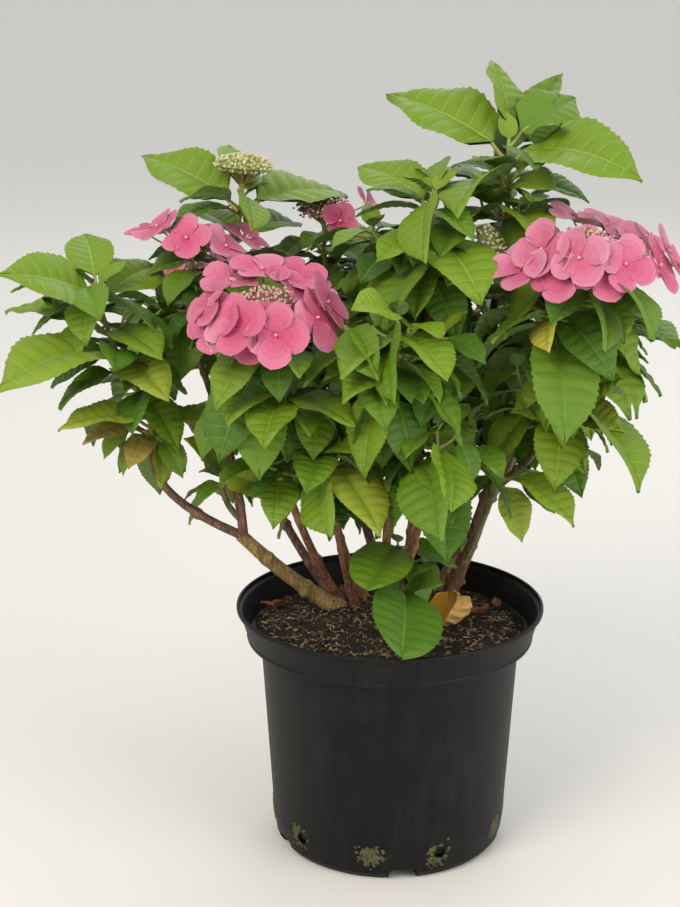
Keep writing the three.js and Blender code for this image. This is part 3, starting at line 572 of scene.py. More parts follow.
def lathe(profile: Profile, segments: int) -> tuple[Array, list[Array]]:
    """Turns a profile that starts and ends on the Z axis.

    Args:
        profile: Points of radius and height, from the lower end on the axis to the upper one.
        segments: How many points go round.

    Returns:
        Its points and faces.
    """
    angles = np.arange(segments) * 2 * pi / segments
    inner = np.array(profile[1:-1], dtype=float)
    rings = np.stack((
        inner[:, :1] * np.cos(angles), inner[:, :1] * np.sin(angles), np.repeat(inner[:, 1:], segments, 1)), -1)
    points = np.concatenate((rings.reshape(-1, 3), [(0, 0, profile[0][1]), (0, 0, profile[-1][1])]))
    return points, closed(len(inner), segments)


def rounded(profile: Profile, radius: float, steps: int = 3) -> Profile:
    """Rounds the corners of a profile.

    Args:
        profile: Points of radius and height.
        radius: How far before and after a corner the curve starts and ends.
        steps: Straight pieces in each curve.

    Returns:
        The finer profile, with both ends kept.
    """
    points = [np.array(point, dtype=float) for point in profile]
    out = [points[0]]
    for before, corner, after in zip(points, points[1:], points[2:]):
        back, ahead = before - corner, after - corner
        reach = min(radius, norm(back) * 0.45, norm(ahead) * 0.45)
        start = corner + back / norm(back) * reach
        end = corner + ahead / norm(ahead) * reach
        for step in range(steps + 1):
            share = step / steps
            out.append((1 - share) ** 2 * start + 2 * share * (1 - share) * corner + share ** 2 * end)
    out.append(points[-1])
    return [tuple(point) for point in out]


def tube(parts: MeshParts, line: Array, radii: Array, sides: int, finish: Finish,
         relief: Array | None = None, tip: Finish | None = None) -> None:
    """Adds a closed round rod along a line.

    Args:
        parts: Gets the rod.
        line: Points of the middle line in millimetres.
        radii: A radius for each point.
        sides: Points round the rod.
        finish: The finish of its side and lower end.
        relief: A factor for each point and side.
        tip: The finish of its upper end.
    """
    tangents = np.gradient(line, axis=0)
    tangents /= norm(tangents, axis=1)[:, None]
    first = np.cross(tangents[0], UP if abs(tangents[0][2]) < 0.9 else RIGHT)
    normals = [first / norm(first)]
    for tangent in tangents[1:]:
        normal = normals[-1] - tangent * (normals[-1] @ tangent)
        normals.append(normal / norm(normal))
    normals = np.array(normals)
    across = np.cross(tangents, normals)
    angles = (np.arange(sides) * 2 * pi / sides)[None, :, None]
    spread = radii[:, None] * (relief if relief is not None else 1.0) * np.ones((1, sides))
    rings = line[:, None] + spread[..., None] * (
        np.cos(angles) * normals[:, None] + np.sin(angles) * across[:, None])
    points = np.concatenate((rings.reshape(-1, 3), [line[0], line[-1]]))
    parts.add(points, closed(len(line), sides), [finish, finish, tip or finish])


def convert(piece: Piece) -> Piece:
    """Replaces a piece by the plain mesh that its modifiers give.

    Args:
        piece: The piece, with its modifiers.

    Returns:
        The same piece, with a plain mesh and no modifier.
    """
    graph = bpy.context.evaluated_depsgraph_get()
    mesh = bpy.data.meshes.new_from_object(piece.evaluated_get(graph), depsgraph=graph)
    piece.modifiers.clear()
    mesh.name = piece.name
    piece.data = mesh
    return piece


def settle(piece: Piece, slot: str, *nodes: str) -> Piece:
    """Puts a finished piece on the body, hides the nodes of the part that it stands for, and logs its triangles.

    Args:
        piece: The piece.
        slot: Not used.
        nodes: The nodes of the part that it stands for.

    Returns:
        The same piece.
    """
    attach(piece, "root")
    if nodes:
        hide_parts(*nodes)
    piece.data.calc_loop_triangles()
    LOG.info("%s: %d triangles", piece.name, len(piece.data.loop_triangles))
    return piece


class NodeTree:
    """A Geometry Nodes tree with named inputs, which are set by their sockets' identifiers."""

    def __init__(self, name: str, **values: float | int) -> None:
        """Starts a tree that passes on its geometry.

        Args:
            name: The tree's name.
            values: The named inputs: whole numbers and sizes in metres.
        """
        self.tree = bpy.data.node_groups.new(name, "GeometryNodeTree")
        self.values = values
        self.identifiers: dict[str, str] = {}
        face = self.tree.interface
        face.new_socket("Geometry", in_out="INPUT", socket_type="NodeSocketGeometry")
        face.new_socket("Geometry", in_out="OUTPUT", socket_type="NodeSocketGeometry")
        for key, value in values.items():
            kind = "NodeSocketInt" if isinstance(value, int) else "NodeSocketFloat"
            self.identifiers[key] = face.new_socket(key, in_out="INPUT", socket_type=kind).identifier
        self.source = self.add("NodeGroupInput")
        self.output = self.add("NodeGroupOutput")

    def add(self, kind: str, inputs: dict | None = None, **settings: object) -> Node:
        """Adds a node to this tree."""
        return add_node(self.tree, kind, inputs, **settings)

    def value(self, name: str) -> Socket:
        """The socket of a named input."""
        return self.source.outputs[name]

    def finish(self, geometry: Node) -> None:
        """Realizes the instances and ends the tree."""
        connect(self.tree, self.output, {0: self.add("RealizeInstances", {"Geometry": geometry})})

    def put_on(self, piece: Piece) -> Piece:
        """Runs the tree on a piece and keeps the plain mesh that comes out.

        Args:
            piece: The piece.

        Returns:
            The same piece.
        """
        modifier = piece.modifiers.new(self.tree.name, "NODES")
        modifier.node_group = self.tree
        for key, value in self.values.items():
            modifier[self.identifiers[key]] = value
        return convert(piece)


# The rule


class Stream:
    """A repeatable stream of numbers from 0 to 1."""

    def __init__(self, seed: int) -> None:
        """Starts from a whole number."""
        self.state = seed

    def draw(self) -> float:
        """The next number."""
        self.state = self.state * 48271 % 2147483647
        return self.state / 2147483647

    def spread(self, width: float) -> float:
        """The next number from minus width to width."""
        return (self.draw() * 2 - 1) * width


def bearing(towards: float, lean: float) -> Array:
    """The unit vector on a compass bearing that leans off vertical, both in degrees.

    Args:
        towards: Degrees from +X.
        lean: Degrees off vertical.

    Returns:
        The vector.
    """
    level = sin(radians(lean))
    turn = radians(towards)
    return np.array((level * cos(turn), level * sin(turn), cos(radians(lean))))


def turned(vector: Array, axis: Array, angle: float) -> Array:
    """A vector turned about a unit axis by an angle in radians."""
    cosine, sine = cos(angle), sin(angle)
    return vector * cosine + np.cross(axis, vector) * sine + axis * (axis @ vector) * (1 - cosine)


def beside_rays(points: Array, seats: Array, ways: Array) -> tuple[Array, Array]:
    """Measures points along rays.

    Args:
        points: The points.
        seats: Where each ray starts.
        ways: The unit direction of each ray.

    Returns:
        How far each point lies ahead of each seat, and how far aside of each ray.
    """
    away = points[None] - seats[:, None]
    ahead = (away * ways[:, None]).sum(2)
    return ahead, norm(away - ahead[..., None] * ways[:, None], axis=2)


def level_way(angle: float) -> Array:
    """The level unit vector at an angle in radians from +X."""
    return np.array((cos(angle), sin(angle), 0.0))


@dataclass(frozen=True)
class Arc:
    """A quadratic curve through three handles."""

    start: Array
    middle: Array
    end: Array

    def point(self, share: float | Array) -> Array:
        """A point, or a row of points for an array of shares."""
        t = np.asarray(share)[..., None]
        return self.start * (1 - t) ** 2 + 2 * self.middle * t * (1 - t) + self.end * t * t

    def tangent(self, share: float) -> Array:
        """The unit direction at a share."""
        way = 2 * (self.middle - self.start) * (1 - share) + 2 * (self.end - self.middle) * share
        return way / norm(way)

    def length(self) -> float:
        """The length along the curve."""
        return float(norm(np.diff(self.point(np.linspace(0, 1, 33)), axis=0), axis=1).sum())


@dataclass(frozen=True)
class LeafRule:
    """The blade's proportions and how it hangs on its stalk."""

    width_share: float = 0.6
    stalk_share: float = 0.2
    fold: float = 0.32
    arch: float = 42
    simple_samples: tuple = ((0.12, 0.6), (0.36, 0.92), (0.6, 0.78), (0.82, 0.4))


@dataclass(frozen=True)
class ShootRule:
    """How leaves sit on a shoot: distances of the pairs from the tip, their sizes, and the jitter."""

    radius: float = 2.4
    nodes: tuple = (1, 15, 40, 68, 96, 124)
    sizes: tuple = (0.62, 0.92, 1, 0.94, 0.84, 0.7)
    rise_step: float = 12
    turn_jitter: float = 14
    rise_jitter: float = 10
    roll_jitter: float = 16
    size_jitter: float = 0.1
    retries: tuple = (0, 14, -14, 28, -28, 42, -42)


@dataclass(frozen=True)
class HeadRule:
    """A flat flower head: a low dome of small fertile buds, ringed by large florets on thin stalks."""

    neck: float = 26
    dome_radius: float = 24
    dome_height: float = 8
    bud_dome_height: float = 12
    ring_rise: float = 6
    floret_radius: float = 29
    floret_notch: float = 21
    floret_cup: float = 4
    floret_tilt: float = 56


LEAF = LeafRule()
SHOOT = ShootRule()
HEAD = HeadRule()
SOIL_TOP = 200.0


class HeadKind(Enum):
    """How a shoot ends."""

    NONE = "leaves only"
    LACE = "an open flat head with its ring of florets"
    BUD = "a head still in bud"


@dataclass(frozen=True)
class Limb:
    """A cane from a foot on the compost, or a bough that starts part-way up the cane that carries it."""

    name: str
    root: tuple
    towards: float
    lean: float
    length: float
    bow: float
    thick: float
    thin: float
    bark: Bark = Bark.BROWN


@dataclass(frozen=True)
class Shoot:
    """One shoot of a mass: where it leaves the stem and its way, its pairs of leaves, and how it ends.

    A placed row holds pair, twin, turn, rise, roll, length and arch of a leaf that doesn't follow the rule, and
    its tint where that isn't the shoot's. More holds bearing, ring and rise of the florets that the solid leaves
    out, and bloom scales how far they have opened.
    """

    on: float
    towards: float
    lean: float
    reach: float
    bend: float
    pairs: int
    turn: float
    rise: float
    leaf: float
    head: HeadKind = HeadKind.NONE
    florets: int = 0
    ring: float = 0
    dome: float = 0
    tint: Tint = MID
    placed: tuple = ()
    more: tuple = ()
    bloom: float = 1


@dataclass(frozen=True)
class Mass:
    """A mass of foliage on the tip of its limb, with the radius of its room and whether its leaves are round."""

    name: str
    limb: str
    stem: float
    room: float
    seed: int
    shoots: tuple
    is_round: bool = False


LIMBS: tuple[Limb, ...] = (
    Limb("cane_left", (-50, 46), 197, 48, 120, 4, 7, 5.6, Bark.TAN),
    Limb("bough_left_low", ("cane_left", 1), 195, 41, 119, 24, 4.2, 3, Bark.BROWN),
    Limb("bough_left_up", ("cane_left", 0.96), 136, 18, 143, -8, 4.4, 3.2, Bark.BROWN),
    Limb("bough_left_mid", ("bough_left_up", 0.12), 172, 37, 24, 2, 3, 2.6, Bark.GREEN),
    Limb("cane_thin", (-44, 60), 235, 28, 249, 14, 4, 2.8, Bark.RED),
    Limb("cane_back_left", (-52, 74), 140, 38, 217, 12, 4.6, 3, Bark.BROWN),
    Limb("cane_mid", (-30, 44), 254, 29, 169, 8, 4, 3, Bark.RED),
    Limb("cane_centre", (-6, 34), 272, 26, 256, 14, 4.6, 3, Bark.RED),
    Limb("cane_centre_high", (12, 52), 292, 10, 313, 10, 4.8, 3, Bark.RED),
    Limb("cane_centre_low", (2, 22), 287, 31, 188, 8, 3.8, 2.8, Bark.RED),
    Limb("cane_back", (0, 86), 130, 19, 256, 14, 5, 3.2, Bark.BROWN),
    Limb("cane_high", (26, 66), 342, 13, 336, 8, 5.4, 3.2, Bark.BROWN),
    Limb("cane_right", (54, 62), 338, 18, 197, 4, 7, 5.8, Bark.BROWN),
    Limb("bough_right_up", ("cane_right", 0.86), 296, 30, 113, 4, 4.2, 3, Bark.BROWN),
    Limb("bough_right_mid", ("cane_right", 0.6), 335, 41, 84, 6, 3.6, 2.8, Bark.GREEN),
    Limb("bough_right_low", ("cane_right", 0.22), 292, 35, 107, 3, 3.2, 2.6, Bark.GREEN),
    Limb("cane_back_right", (44, 92), 32, 34, 229, 12, 4.8, 3, Bark.BROWN),
    Limb("cane_low", (20, 30), 255, 35, 66, 3, 3.2, 2.6, Bark.RED),
    Limb("cane_inner_left", (-22, 70), 180, 13, 187, 10, 4.4, 3, Bark.RED),
    Limb("cane_inner_right", (30, 84), 0, 11, 201, 10, 4.4, 3, Bark.BROWN),
)

# Spray tints are partly the leaves' own greens and partly painted light and shade: darker tints on shoots deep
# inside and low in the crown, lighter ones on the right-hand masses.
MASSES: tuple[Mass, ...] = (
    Mass("foliage_top_right", "cane_high", 30, 190, 11, (
        Shoot(1, 265, 9, 74, 6, 4, 80, 40, 80, tint=BRIGHT, placed=(
            (0, 0, 35, 27, 49, 84, 30, MID), (0, 1, 88, 45, 47, 88, 24), (1, 0, 155, 31, -32, 116, 30),
            (1, 1, 313, 15, 23, 118, 50), (2, 0, 294, 20, 27, 60, 40), (2, 1, 229, 15, 26, 92, 60),
            (3, 0, 286, 14, -6, 80, 50),
        )),
        Shoot(0.5, 102, 18, 61, 20, 3, 60, 26, 88, placed=(
            (0, 0, 44, 52, -5, 100, 20),
        )),
    )),
    Mass("foliage_right_front", "bough_right_up", 24, 220, 23, (
        Shoot(1, 328, 32, 60, 20, 4, 20, 2, 100, HeadKind.LACE, 10, 60, tint=BRIGHT,
              more=((273, 64, -2), (102, 50, 8), (60, 64, 8), (6, 54, 8), (216, 76, -18), (243, 66, -16)),
              bloom=0.94, placed=(
            (0, 0, 305, -5, -27, 100, 44, MID), (0, 1, 191, -23, -4, 76, 44, FRESH),
            (1, 0, 291, -9, -39, 86, 44, MID), (1, 1, 104, -15, -70, 90, 30, MID),
            (2, 0, 31, 3, 15, 104, 36, FRESH), (2, 1, 240, -7, 44, 60, 44, YELLOW),
        )),
        Shoot(0.4, 52, 93, 79, 20, 3, 10, 4, 98, placed=(
            (0, 0, 309, 13, -5, 96, 30),
        )),
    )),
    Mass("foliage_right_mid", "bough_right_mid", 22, 190, 37, (
        Shoot(1, 303, 43, 13, 20, 4, 0, 10, 76, tint=BRIGHT, placed=(
            (0, 0, 301, 33, 61, 62, 30, FRESH), (0, 1, 78, 35, -39, 66, 20, MID),
            (1, 0, 308, 6, 28, 62, 34, LIME), (1, 1, 222, 22, -43, 62, 30), (2, 0, 307, -3, -20, 112, 50),
            (2, 1, 28, -21, 33, 72, 40, MID),
        )),
        Shoot(0.5, 102, 103, 72, 20, 3, 70, 10, 80),
        Shoot(0.7, 209, 42, 64, 30, 3, 230, 2, 66, tint=BRIGHT),
    )),
    Mass("foliage_right_low", "bough_right_low", 14, 100, 41, (
        Shoot(1, 12, 81, 7, 20, 2, 300, -4, 62, tint=BRIGHT, placed=(
            (0, 0, 313, -2, -3, 76, 40, FRESH), (0, 1, 221, 0, 9, 60, 40), (1, 0, 308, -49, 15, 52, 36, LIME),
        )),
    )),
    Mass("foliage_left_front", "cane_thin", 26, 170, 53, (
        Shoot(1, 287, 36, 54, 20, 4, 250, -14, 76, HeadKind.LACE, 8, 47,
              more=((216, 54, 0), (66, 52, 8), (261, 42, -4)), placed=(
            (1, 0, 299, 7, -21, 70, 40), (1, 1, 234, -16, -3, 84, 44),
        )),
        Shoot(0.5, 320, 110, 29, 30, 3, 270, -6, 80, tint=BRIGHT, placed=(
            (0, 0, 259, 2, 5, 74, 36), (0, 1, 313, 10, 3, 76, 36), (1, 0, 52, 11, 9, 60, 36),
            (1, 1, 244, 12, 4, 70, 40),
        )),
        Shoot(0.7, 121, 95, 35, 30, 3, 215, -2, 74),
        Shoot(0.6, 18, 100, 64, 30, 3, 330, -2, 74),
    )),
    Mass("foliage_left_back", "bough_left_up", 26, 270, 67, (
        Shoot(1, 35, 19, 150, 14, 4, 200, 26, 88, HeadKind.BUD, dome=26, tint=BRIGHT, placed=(
            (1, 0, 157, 31, -31, 100, 30), (1, 1, 34, 13, 21, 110, 36), (0, 0, 98, 32, 26, 72, 20),
            (0, 1, 291, -7, -37, 60, 40), (2, 0, 43, 16, 18, 76, 40), (2, 1, 127, 29, 0, 60, 40),
        )),
        Shoot(0.3, 63, 19, 53, 30, 3, 160, 2, 80),
        Shoot(0.6, 226, 6, 94, 20, 3, 120, 0, 76, HeadKind.LACE, 7, 44, more=((93, 74, 6),),
              bloom=0.8, placed=(
            (0, 0, 89, 29, 49, 52, 30), (1, 0, 293, -29, -57, 84, 44),
        )),
    )),
    Mass("foliage_far_left", "bough_left_low", 26, 250, 79, (
        Shoot(1, 176, 24, 124, 14, 5, 150, 14, 90, tint=BRIGHT, placed=(
            (1, 0, 236, 30, -48, 98, 36), (1, 1, 43, 27, 19, 86, 34), (0, 0, 105, 38, -3, 70, 30),
            (0, 1, 259, -20, 21, 58, 40), (2, 0, 163, 21, -13, 92, 40), (2, 1, 307, 9, 7, 72, 40),
            (3, 0, 232, 18, -13, 124, 50, FRESH), (3, 1, 299, 3, 16, 74, 40, LIME),
        )),
        Shoot(0.4, 265, 57, 24, 30, 4, 200, -12, 58, tint=FRESH, placed=(
            (0, 0, 219, 21, -15, 78, 40, LIME), (0, 1, 31, 6, 9, 78, 30), (1, 0, 219, 17, -5, 62, 40, BRONZE),
            (1, 1, 50, 19, 18, 54, 30), (2, 0, 249, -9, -12, 44, 40, BRONZE),
            (2, 1, 299, -55, -28, 42, 30, LIME),
        )),
    )),
    Mass("foliage_left_mid", "bough_left_mid", 12, 90, 83, (
        Shoot(1, 278, 32, 13, 4, 2, 180, 0, 54, tint=FRESH, placed=(
            (0, 0, 247, 46, -76, 58, 26), (0, 1, 316, 6, 29, 66, 30, LIME), (1, 0, 85, 46, -21, 46, 30),
        )),
    )),
    Mass("foliage_low", "cane_mid", 14, 170, 97, (
        Shoot(1, 235, 27, 19, 20, 3, 200, 0, 66, tint=BRIGHT, placed=(
            (0, 0, 231, 9, -4, 62, 36, MID), (0, 1, 299, 25, 24, 50, 36, FRESH), (1, 0, 260, -19, 55, 80, 30),
            (1, 1, 315, -9, -4, 84, 30, LIME),
        )),
        Shoot(0.3, 116, 71, 66, 20, 3, 150, 4, 76, tint=DEEP),
        Shoot(0.8, 167, 87, 61, 30, 3, 205, -8, 64),
        Shoot(0.5, 55, 89, 45, 30, 3, 330, -6, 66, tint=DEEP),
    )),
    Mass("foliage_centre", "cane_centre", 28, 160, 101, (
        Shoot(1, 31, 7, 42, 20, 4, 250, 2, 74, tint=BRIGHT, placed=(
            (0, 0, 255, -26, 51, 80, 30, MID), (0, 1, 243, 31, -35, 60, 36, FRESH),
            (1, 0, 300, 2, -9, 72, 40), (1, 1, 229, 2, 7, 70, 40), (2, 0, 231, 1, 1, 60, 36),
            (2, 1, 37, 14, 19, 80, 40),
        )),
        Shoot(0.6, 186, 38, 64, 30, 3, 290, 0, 66, placed=(
            (0, 0, 300, -17, -23, 62, 30, BRIGHT), (0, 1, 243, -2, 32, 60, 36),
            (1, 0, 311, -30, -8, 56, 36, BRIGHT),
        )),
        Shoot(0.9, 37, 65, 59, 30, 4, 320, -4, 76),
        Shoot(0.4, 107, 86, 53, 30, 4, 200, -6, 72, tint=DEEP),
    )),
    Mass("foliage_centre_low", "cane_centre_low", 14, 150, 113, (
        Shoot(1, 327, 8, 32, 20, 4, 280, -10, 72, placed=(
            (0, 0, 49, 25, 13, 44, 30, FRESH), (0, 1, 224, 9, 8, 62, 40), (1, 0, 245, -15, 41, 94, 34),
            (1, 1, 285, -10, -40, 80, 34, BRIGHT), (2, 0, 245, 15, 1, 60, 36),
        )),
        Shoot(0.6, 119, 46, 60, 30, 4, 240, -4, 68),
        Shoot(0.7, 41, 78, 53, 30, 3, 300, -8, 66),
    )),
    Mass("foliage_centre_high", "cane_centre_high", 26, 190, 127, (
        Shoot(1, 280, 7, 57, 10, 5, 170, 20, 82, tint=BRIGHT, placed=(
            (1, 0, 135, 29, -15, 88, 34), (1, 1, 48, 33, -9, 72, 30), (0, 0, 253, -17, 40, 82, 34),
            (0, 1, 85, 32, -37, 56, 30), (2, 0, 290, -4, -1, 98, 36), (2, 1, 232, 10, -8, 66, 40),
            (3, 0, 240, -9, 15, 84, 40, MID),
        )),
        Shoot(0.6, 343, 69, 33, 20, 2, 60, 14, 76, HeadKind.BUD, dome=18, tint=BRIGHT),
        Shoot(0.5, 159, 56, 64, 20, 4, 215, 8, 78),
        Shoot(0.4, 101, 88, 70, 20, 3, 80, 14, 84, tint=DEEP),
    )),
    Mass("foliage_foot", "cane_low", 10, 160, 131, (
        Shoot(1, 163, 8, 17, 6, 2, 230, -20, 56, placed=(
            (0, 0, 255, 3, -12, 84, 24), (0, 1, 322, 3, 15, 50, 36, DEEP),
        )),
        Shoot(0.5, 272, 118, 29, 0, 1, 270, -20, 60, placed=(
            (0, 0, 271, 0, -18, 102, 24, DEEP), (0, 1, 307, 30, 29, 46, 30, DEEP),
        )),
    ), is_round=True),
    Mass("foliage_inner_left", "cane_inner_left", 24, 200, 151, (
        Shoot(1, 200, 30, 50, 20, 4, 190, 4, 84),
        Shoot(1, 300, 36, 60, 20, 4, 250, 2, 80, tint=DEEP),
        Shoot(1, 30, 26, 80, 20, 4, 60, 10, 84),
    )),
    Mass("foliage_inner_right", "cane_inner_right", 24, 190, 157, (
        Shoot(1, 240, 30, 60, 20, 4, 230, 4, 84),
        Shoot(1, 320, 40, 56, 20, 4, 330, 2, 80),
        Shoot(1, 80, 26, 70, 20, 3, 80, 10, 84),
        Shoot(1, 255, 100, 72, 20, 4, 250, -14, 72),
    )),
    Mass("foliage_back_left", "cane_back_left", 30, 210, 137, (
        Shoot(1, 100, 34, 76, 20, 4, 120, 14, 96, HeadKind.LACE, 5, 42),
        Shoot(1, 165, 52, 76, 20, 4, 165, 6, 92, tint=BRIGHT),
        Shoot(1, 40, 20, 84, 20, 4, 30, 22, 86),
    )),
    Mass("foliage_back", "cane_back", 30, 210, 139, (
        Shoot(1, 262, 24, 70, 20, 4, 200, 16, 86, HeadKind.LACE, 5, 38, bloom=0.62),
        Shoot(1, 95, 48, 80, 20, 4, 90, 8, 96, tint=BRIGHT),
        Shoot(1, 10, 36, 64, 20, 4, 40, 14, 88),
    )),
    Mass("foliage_back_right", "cane_back_right", 28, 210, 163, (
        Shoot(1, 70, 34, 76, 20, 4, 60, 12, 96, HeadKind.LACE, 5, 42),
        Shoot(1, 5, 50, 66, 20, 4, 0, 4, 88, tint=BRIGHT),
        Shoot(1, 330, 22, 60, 20, 3, 300, 10, 76),
        Shoot(0.1, 208, 108, 84, 20, 4, 200, -20, 84, tint=DEEP),
        Shoot(0.1, 250, 112, 60, 20, 4, 240, -24, 80, tint=DEEP),
    )),
)


def limb_arc(start: Array, limb: Limb) -> Arc:
    """A limb's line: an arc in the upright plane of its bearing."""
    end = start + bearing(limb.towards, limb.lean) * limb.length
    return Arc(start, (start + end) / 2 + bearing(limb.towards, 90) * limb.bow * 2, end)


def limb_arcs() -> dict[str, Arc]:
    """The line of every limb by name, carriers first.

    Returns:
        The lines.
    """
    arcs: dict[str, Arc] = {}
    for limb in LIMBS:
        if isinstance(limb.root[0], str):
            start = arcs[limb.root[0]].point(limb.root[1])
        else:
            start = np.array((limb.root[0], limb.root[1], SOIL_TOP + GAP))
        arcs[limb.name] = limb_arc(start, limb)
    return arcs


@dataclass(frozen=True)
class LeafPlan:
    """A leaf before it grows: where its stalk leaves the shoot, its bearings, its size and its tint."""

    root: Array
    turn: float
    rise: float
    roll: float
    length: float
    arch: float
    tint: Tint
    placed: bool = False


class Blade:
    """The frame of one leaf: where its blade starts, and the way it points, spreads and faces."""

    def __init__(self, plan: LeafPlan, retry: float = 0) -> None:
        """Sets up the frame.

        Args:
            plan: The leaf.
            retry: Degrees by which the leaf is turned aside, which also lowers it a little.
        """
        turn, rise = radians(plan.turn + retry), plan.rise - abs(retry) / 3
        level = level_way(turn)
        up, lifted = radians(rise), radians(rise + 18)
        self.plan = plan
        self.forward = level * cos(up) + UP * sin(up)
        self.stalk = level * cos(lifted) + UP * sin(lifted)
        self.side = turned(np.cross(UP, level), self.forward, radians(plan.roll))
        self.face = np.cross(self.forward, self.side)
        self.base = plan.root + self.stalk * plan.length * LEAF.stalk_share

    def surface(self, share: Array, reach: Array, lift: Array, twist: float = 0) -> Array:
        """Points of the blade.

        Args:
            share: From the stalk at 0 to the tip at 1, along the arched midrib.
            reach: Millimetres sideways from the midrib.
            lift: Millimetres above the folded blade.
            twist: Radians that the blade turns about its midrib by its tip.

        Returns:
            One row a point.
        """
        bow = radians(self.plan.arch)
        length = self.plan.length
        turn = bow * share
        cosine, sine = np.cos(turn)[:, None], np.sin(turn)[:, None]
        up = self.face * cosine + self.forward * sine
        angle = (twist * share)[:, None]
        side = self.side * np.cos(angle) + up * np.sin(angle)
        return (self.base + self.forward * sine * length / bow - self.face * (1 - cosine) * length / bow
                + side * reach[:, None] + up * (lift + np.abs(reach) * LEAF.fold)[:, None])

    def tip(self) -> Array:
        """The blade's tip."""
        return self.surface(np.ones(1), np.zeros(1), np.zeros(1))[0]

    def samples(self) -> Array:
        """Points spread over the blade, which keep leaves apart.

        Returns:
            Three points in each of four rows, and the tip.
        """
        half = self.plan.length * LEAF.width_share / 2
        rows = [(share, across * width * half) for share, width in LEAF.simple_samples for across in (-1, 0, 1)]
        table = np.array(rows + [(1, 0)], dtype=float)
        return self.surface(table[:, 0], table[:, 1], np.zeros(len(table)))


@dataclass
class BladeShape:
    """The template of a blade: a closed thin shell with toothed margins, side veins and quilting between them.

    Rows of points follow the side veins, which sweep forward to the margin, and end there in a tooth.
    """

    veins: int = 7
    columns: tuple = (0.15, 0.42, 0.72, 1.0)
    first_vein: float = 0.1
    vein_width: float = 0.007
    midrib: float = 0.034
    sweep: float = 0.13
    tooth: float = 0.034
    quilt: float = 0.02
    thickness: float = 0.5
    outline: tuple = ((0, 0.05), (0.03, 0.28), (0.09, 0.6), (0.18, 0.87), (0.3, 1.0), (0.4, 1.03), (0.52, 0.98),
                      (0.64, 0.84), (0.75, 0.62), (0.85, 0.36), (0.93, 0.15), (1, 0.015))

    def __post_init__(self) -> None:
        """Works out the template's rows, columns and faces."""
        gap = (0.975 - self.first_vein) / self.veins
        lines: list[tuple[float, float, float]] = [(0, 0.5, 0), (self.first_vein * 0.55, 0.9, 0)]
        for vein in range(self.veins):
            start = self.first_vein + vein * gap
            half = self.vein_width / 2
            lines += [(start - half, 0, 1), (start + half, 0, 1), (start + gap * 0.28, 0.75, -1),
                      (start + gap * 0.5, 1, 0.6), (start + gap * 0.76, 0.75, -1)]
        lines += [(0.982, 0.2, 0), (1, 0, 0)]
        half_columns = np.array(self.columns)
        across = np.concatenate((-half_columns[::-1], (-self.midrib, self.midrib), half_columns))
        along = np.array(lines)
        a = np.broadcast_to(across, (len(along), len(across)))
        s = np.broadcast_to(along[:, :1], a.shape)
        bulge = np.broadcast_to(along[:, 1:2], a.shape)
        tooth = np.broadcast_to(along[:, 2:3], a.shape)
        edge = np.abs(a) > 0.99
        share = s + self.sweep * np.abs(a) ** 1.2 * np.sin(pi * np.clip(s, 0, 1)) ** 0.6 * (1 - s)
        share = share + np.where(edge, np.where(tooth > 0, 0.008, -0.004), 0) * (s < 0.97)
        knots = np.array(self.outline)
        width = np.interp(np.clip(share, 0, 1), knots[:, 0], knots[:, 1])
        width = width * np.where(edge, 1 + self.tooth * tooth * np.sin(pi * np.clip(s, 0, 1)) ** 0.4, 1)
        fade = np.abs(a) ** 0.6 * (1 - np.abs(a)) ** 0.35 * 1.5
        height = self.quilt * bulge * fade - np.where(np.abs(a) < 0.1, 0.008, 0)
        rows, self.row = s.shape[0], s.shape[1]
        self.share, self.across = np.clip(share, 0, 1).ravel(), (a * width).ravel()
        self.edge = np.abs(a).ravel()
        self.height = height.ravel()
        self.ridge = ((np.abs(a) < 0.1) * 1.0 + (bulge == 0) * 0.5 * (np.abs(a) < 0.99)).ravel()
        self.inner, self.faces = shell(rows, self.row)
        strips = np.arange(rows - 1)[:, None].repeat(self.row - 1, 1).ravel()
        lanes = np.arange(self.row - 1)[None].repeat(rows - 1, 0).ravel()
        middle = lanes == (self.row - 1) // 2
        flat = along[:, 1] == 0
        is_vein = flat[strips] & flat[np.minimum(strips + 1, rows - 1)] & (strips < rows - 2)
        is_inner = np.abs(lanes - (self.row - 1) // 2) < (self.row - 1) // 2
        upper = np.where(middle | (is_vein & is_inner), 1, 0)
        self.zones = np.concatenate((upper, upper, np.full(2 * len(upper), 2)))

    def grow(self, blade: Blade, luck: Luck, curl: float = 0) -> Array:
        """Lays the template on a leaf's frame.

        Args:
            blade: The frame.
            luck: Draws this leaf's own waves and twist.
            curl: How far the margins roll up, for a dying leaf.

        Returns:
            The corners in millimetres.
        """
        length = blade.plan.length
        half = length * LEAF.width_share / 2
        lopsided = 1 + 0.06 * luck.uniform(-1, 1) * np.sign(self.across)
        reach = self.across * half * lopsided
        wave = length * luck.uniform(0.008, 0.024) * self.edge ** 2 * np.sin(
            2 * pi * (luck.uniform(1.6, 2.6) * self.share + luck.uniform(0, 1)) + np.sign(self.across) * 0.9)
        droop = -length * luck.uniform(0.01, 0.05) * self.edge ** 2 * self.share
        relax = -np.abs(reach) * self.edge * luck.uniform(0.02, 0.14)
        lift = self.height * length + wave + droop + relax + curl * half * self.edge ** 3
        reach = reach * (1 - 0.45 * min(curl, 1) * self.edge ** 2)
        twist = luck.uniform(-0.22, 0.22)
        top = blade.surface(self.share, reach, lift, twist)
        deep = lift - self.thickness - self.ridge * 0.8
        under = blade.surface(self.share[self.inner], reach[self.inner], deep[self.inner], twist)
        return np.concatenate((top, under))


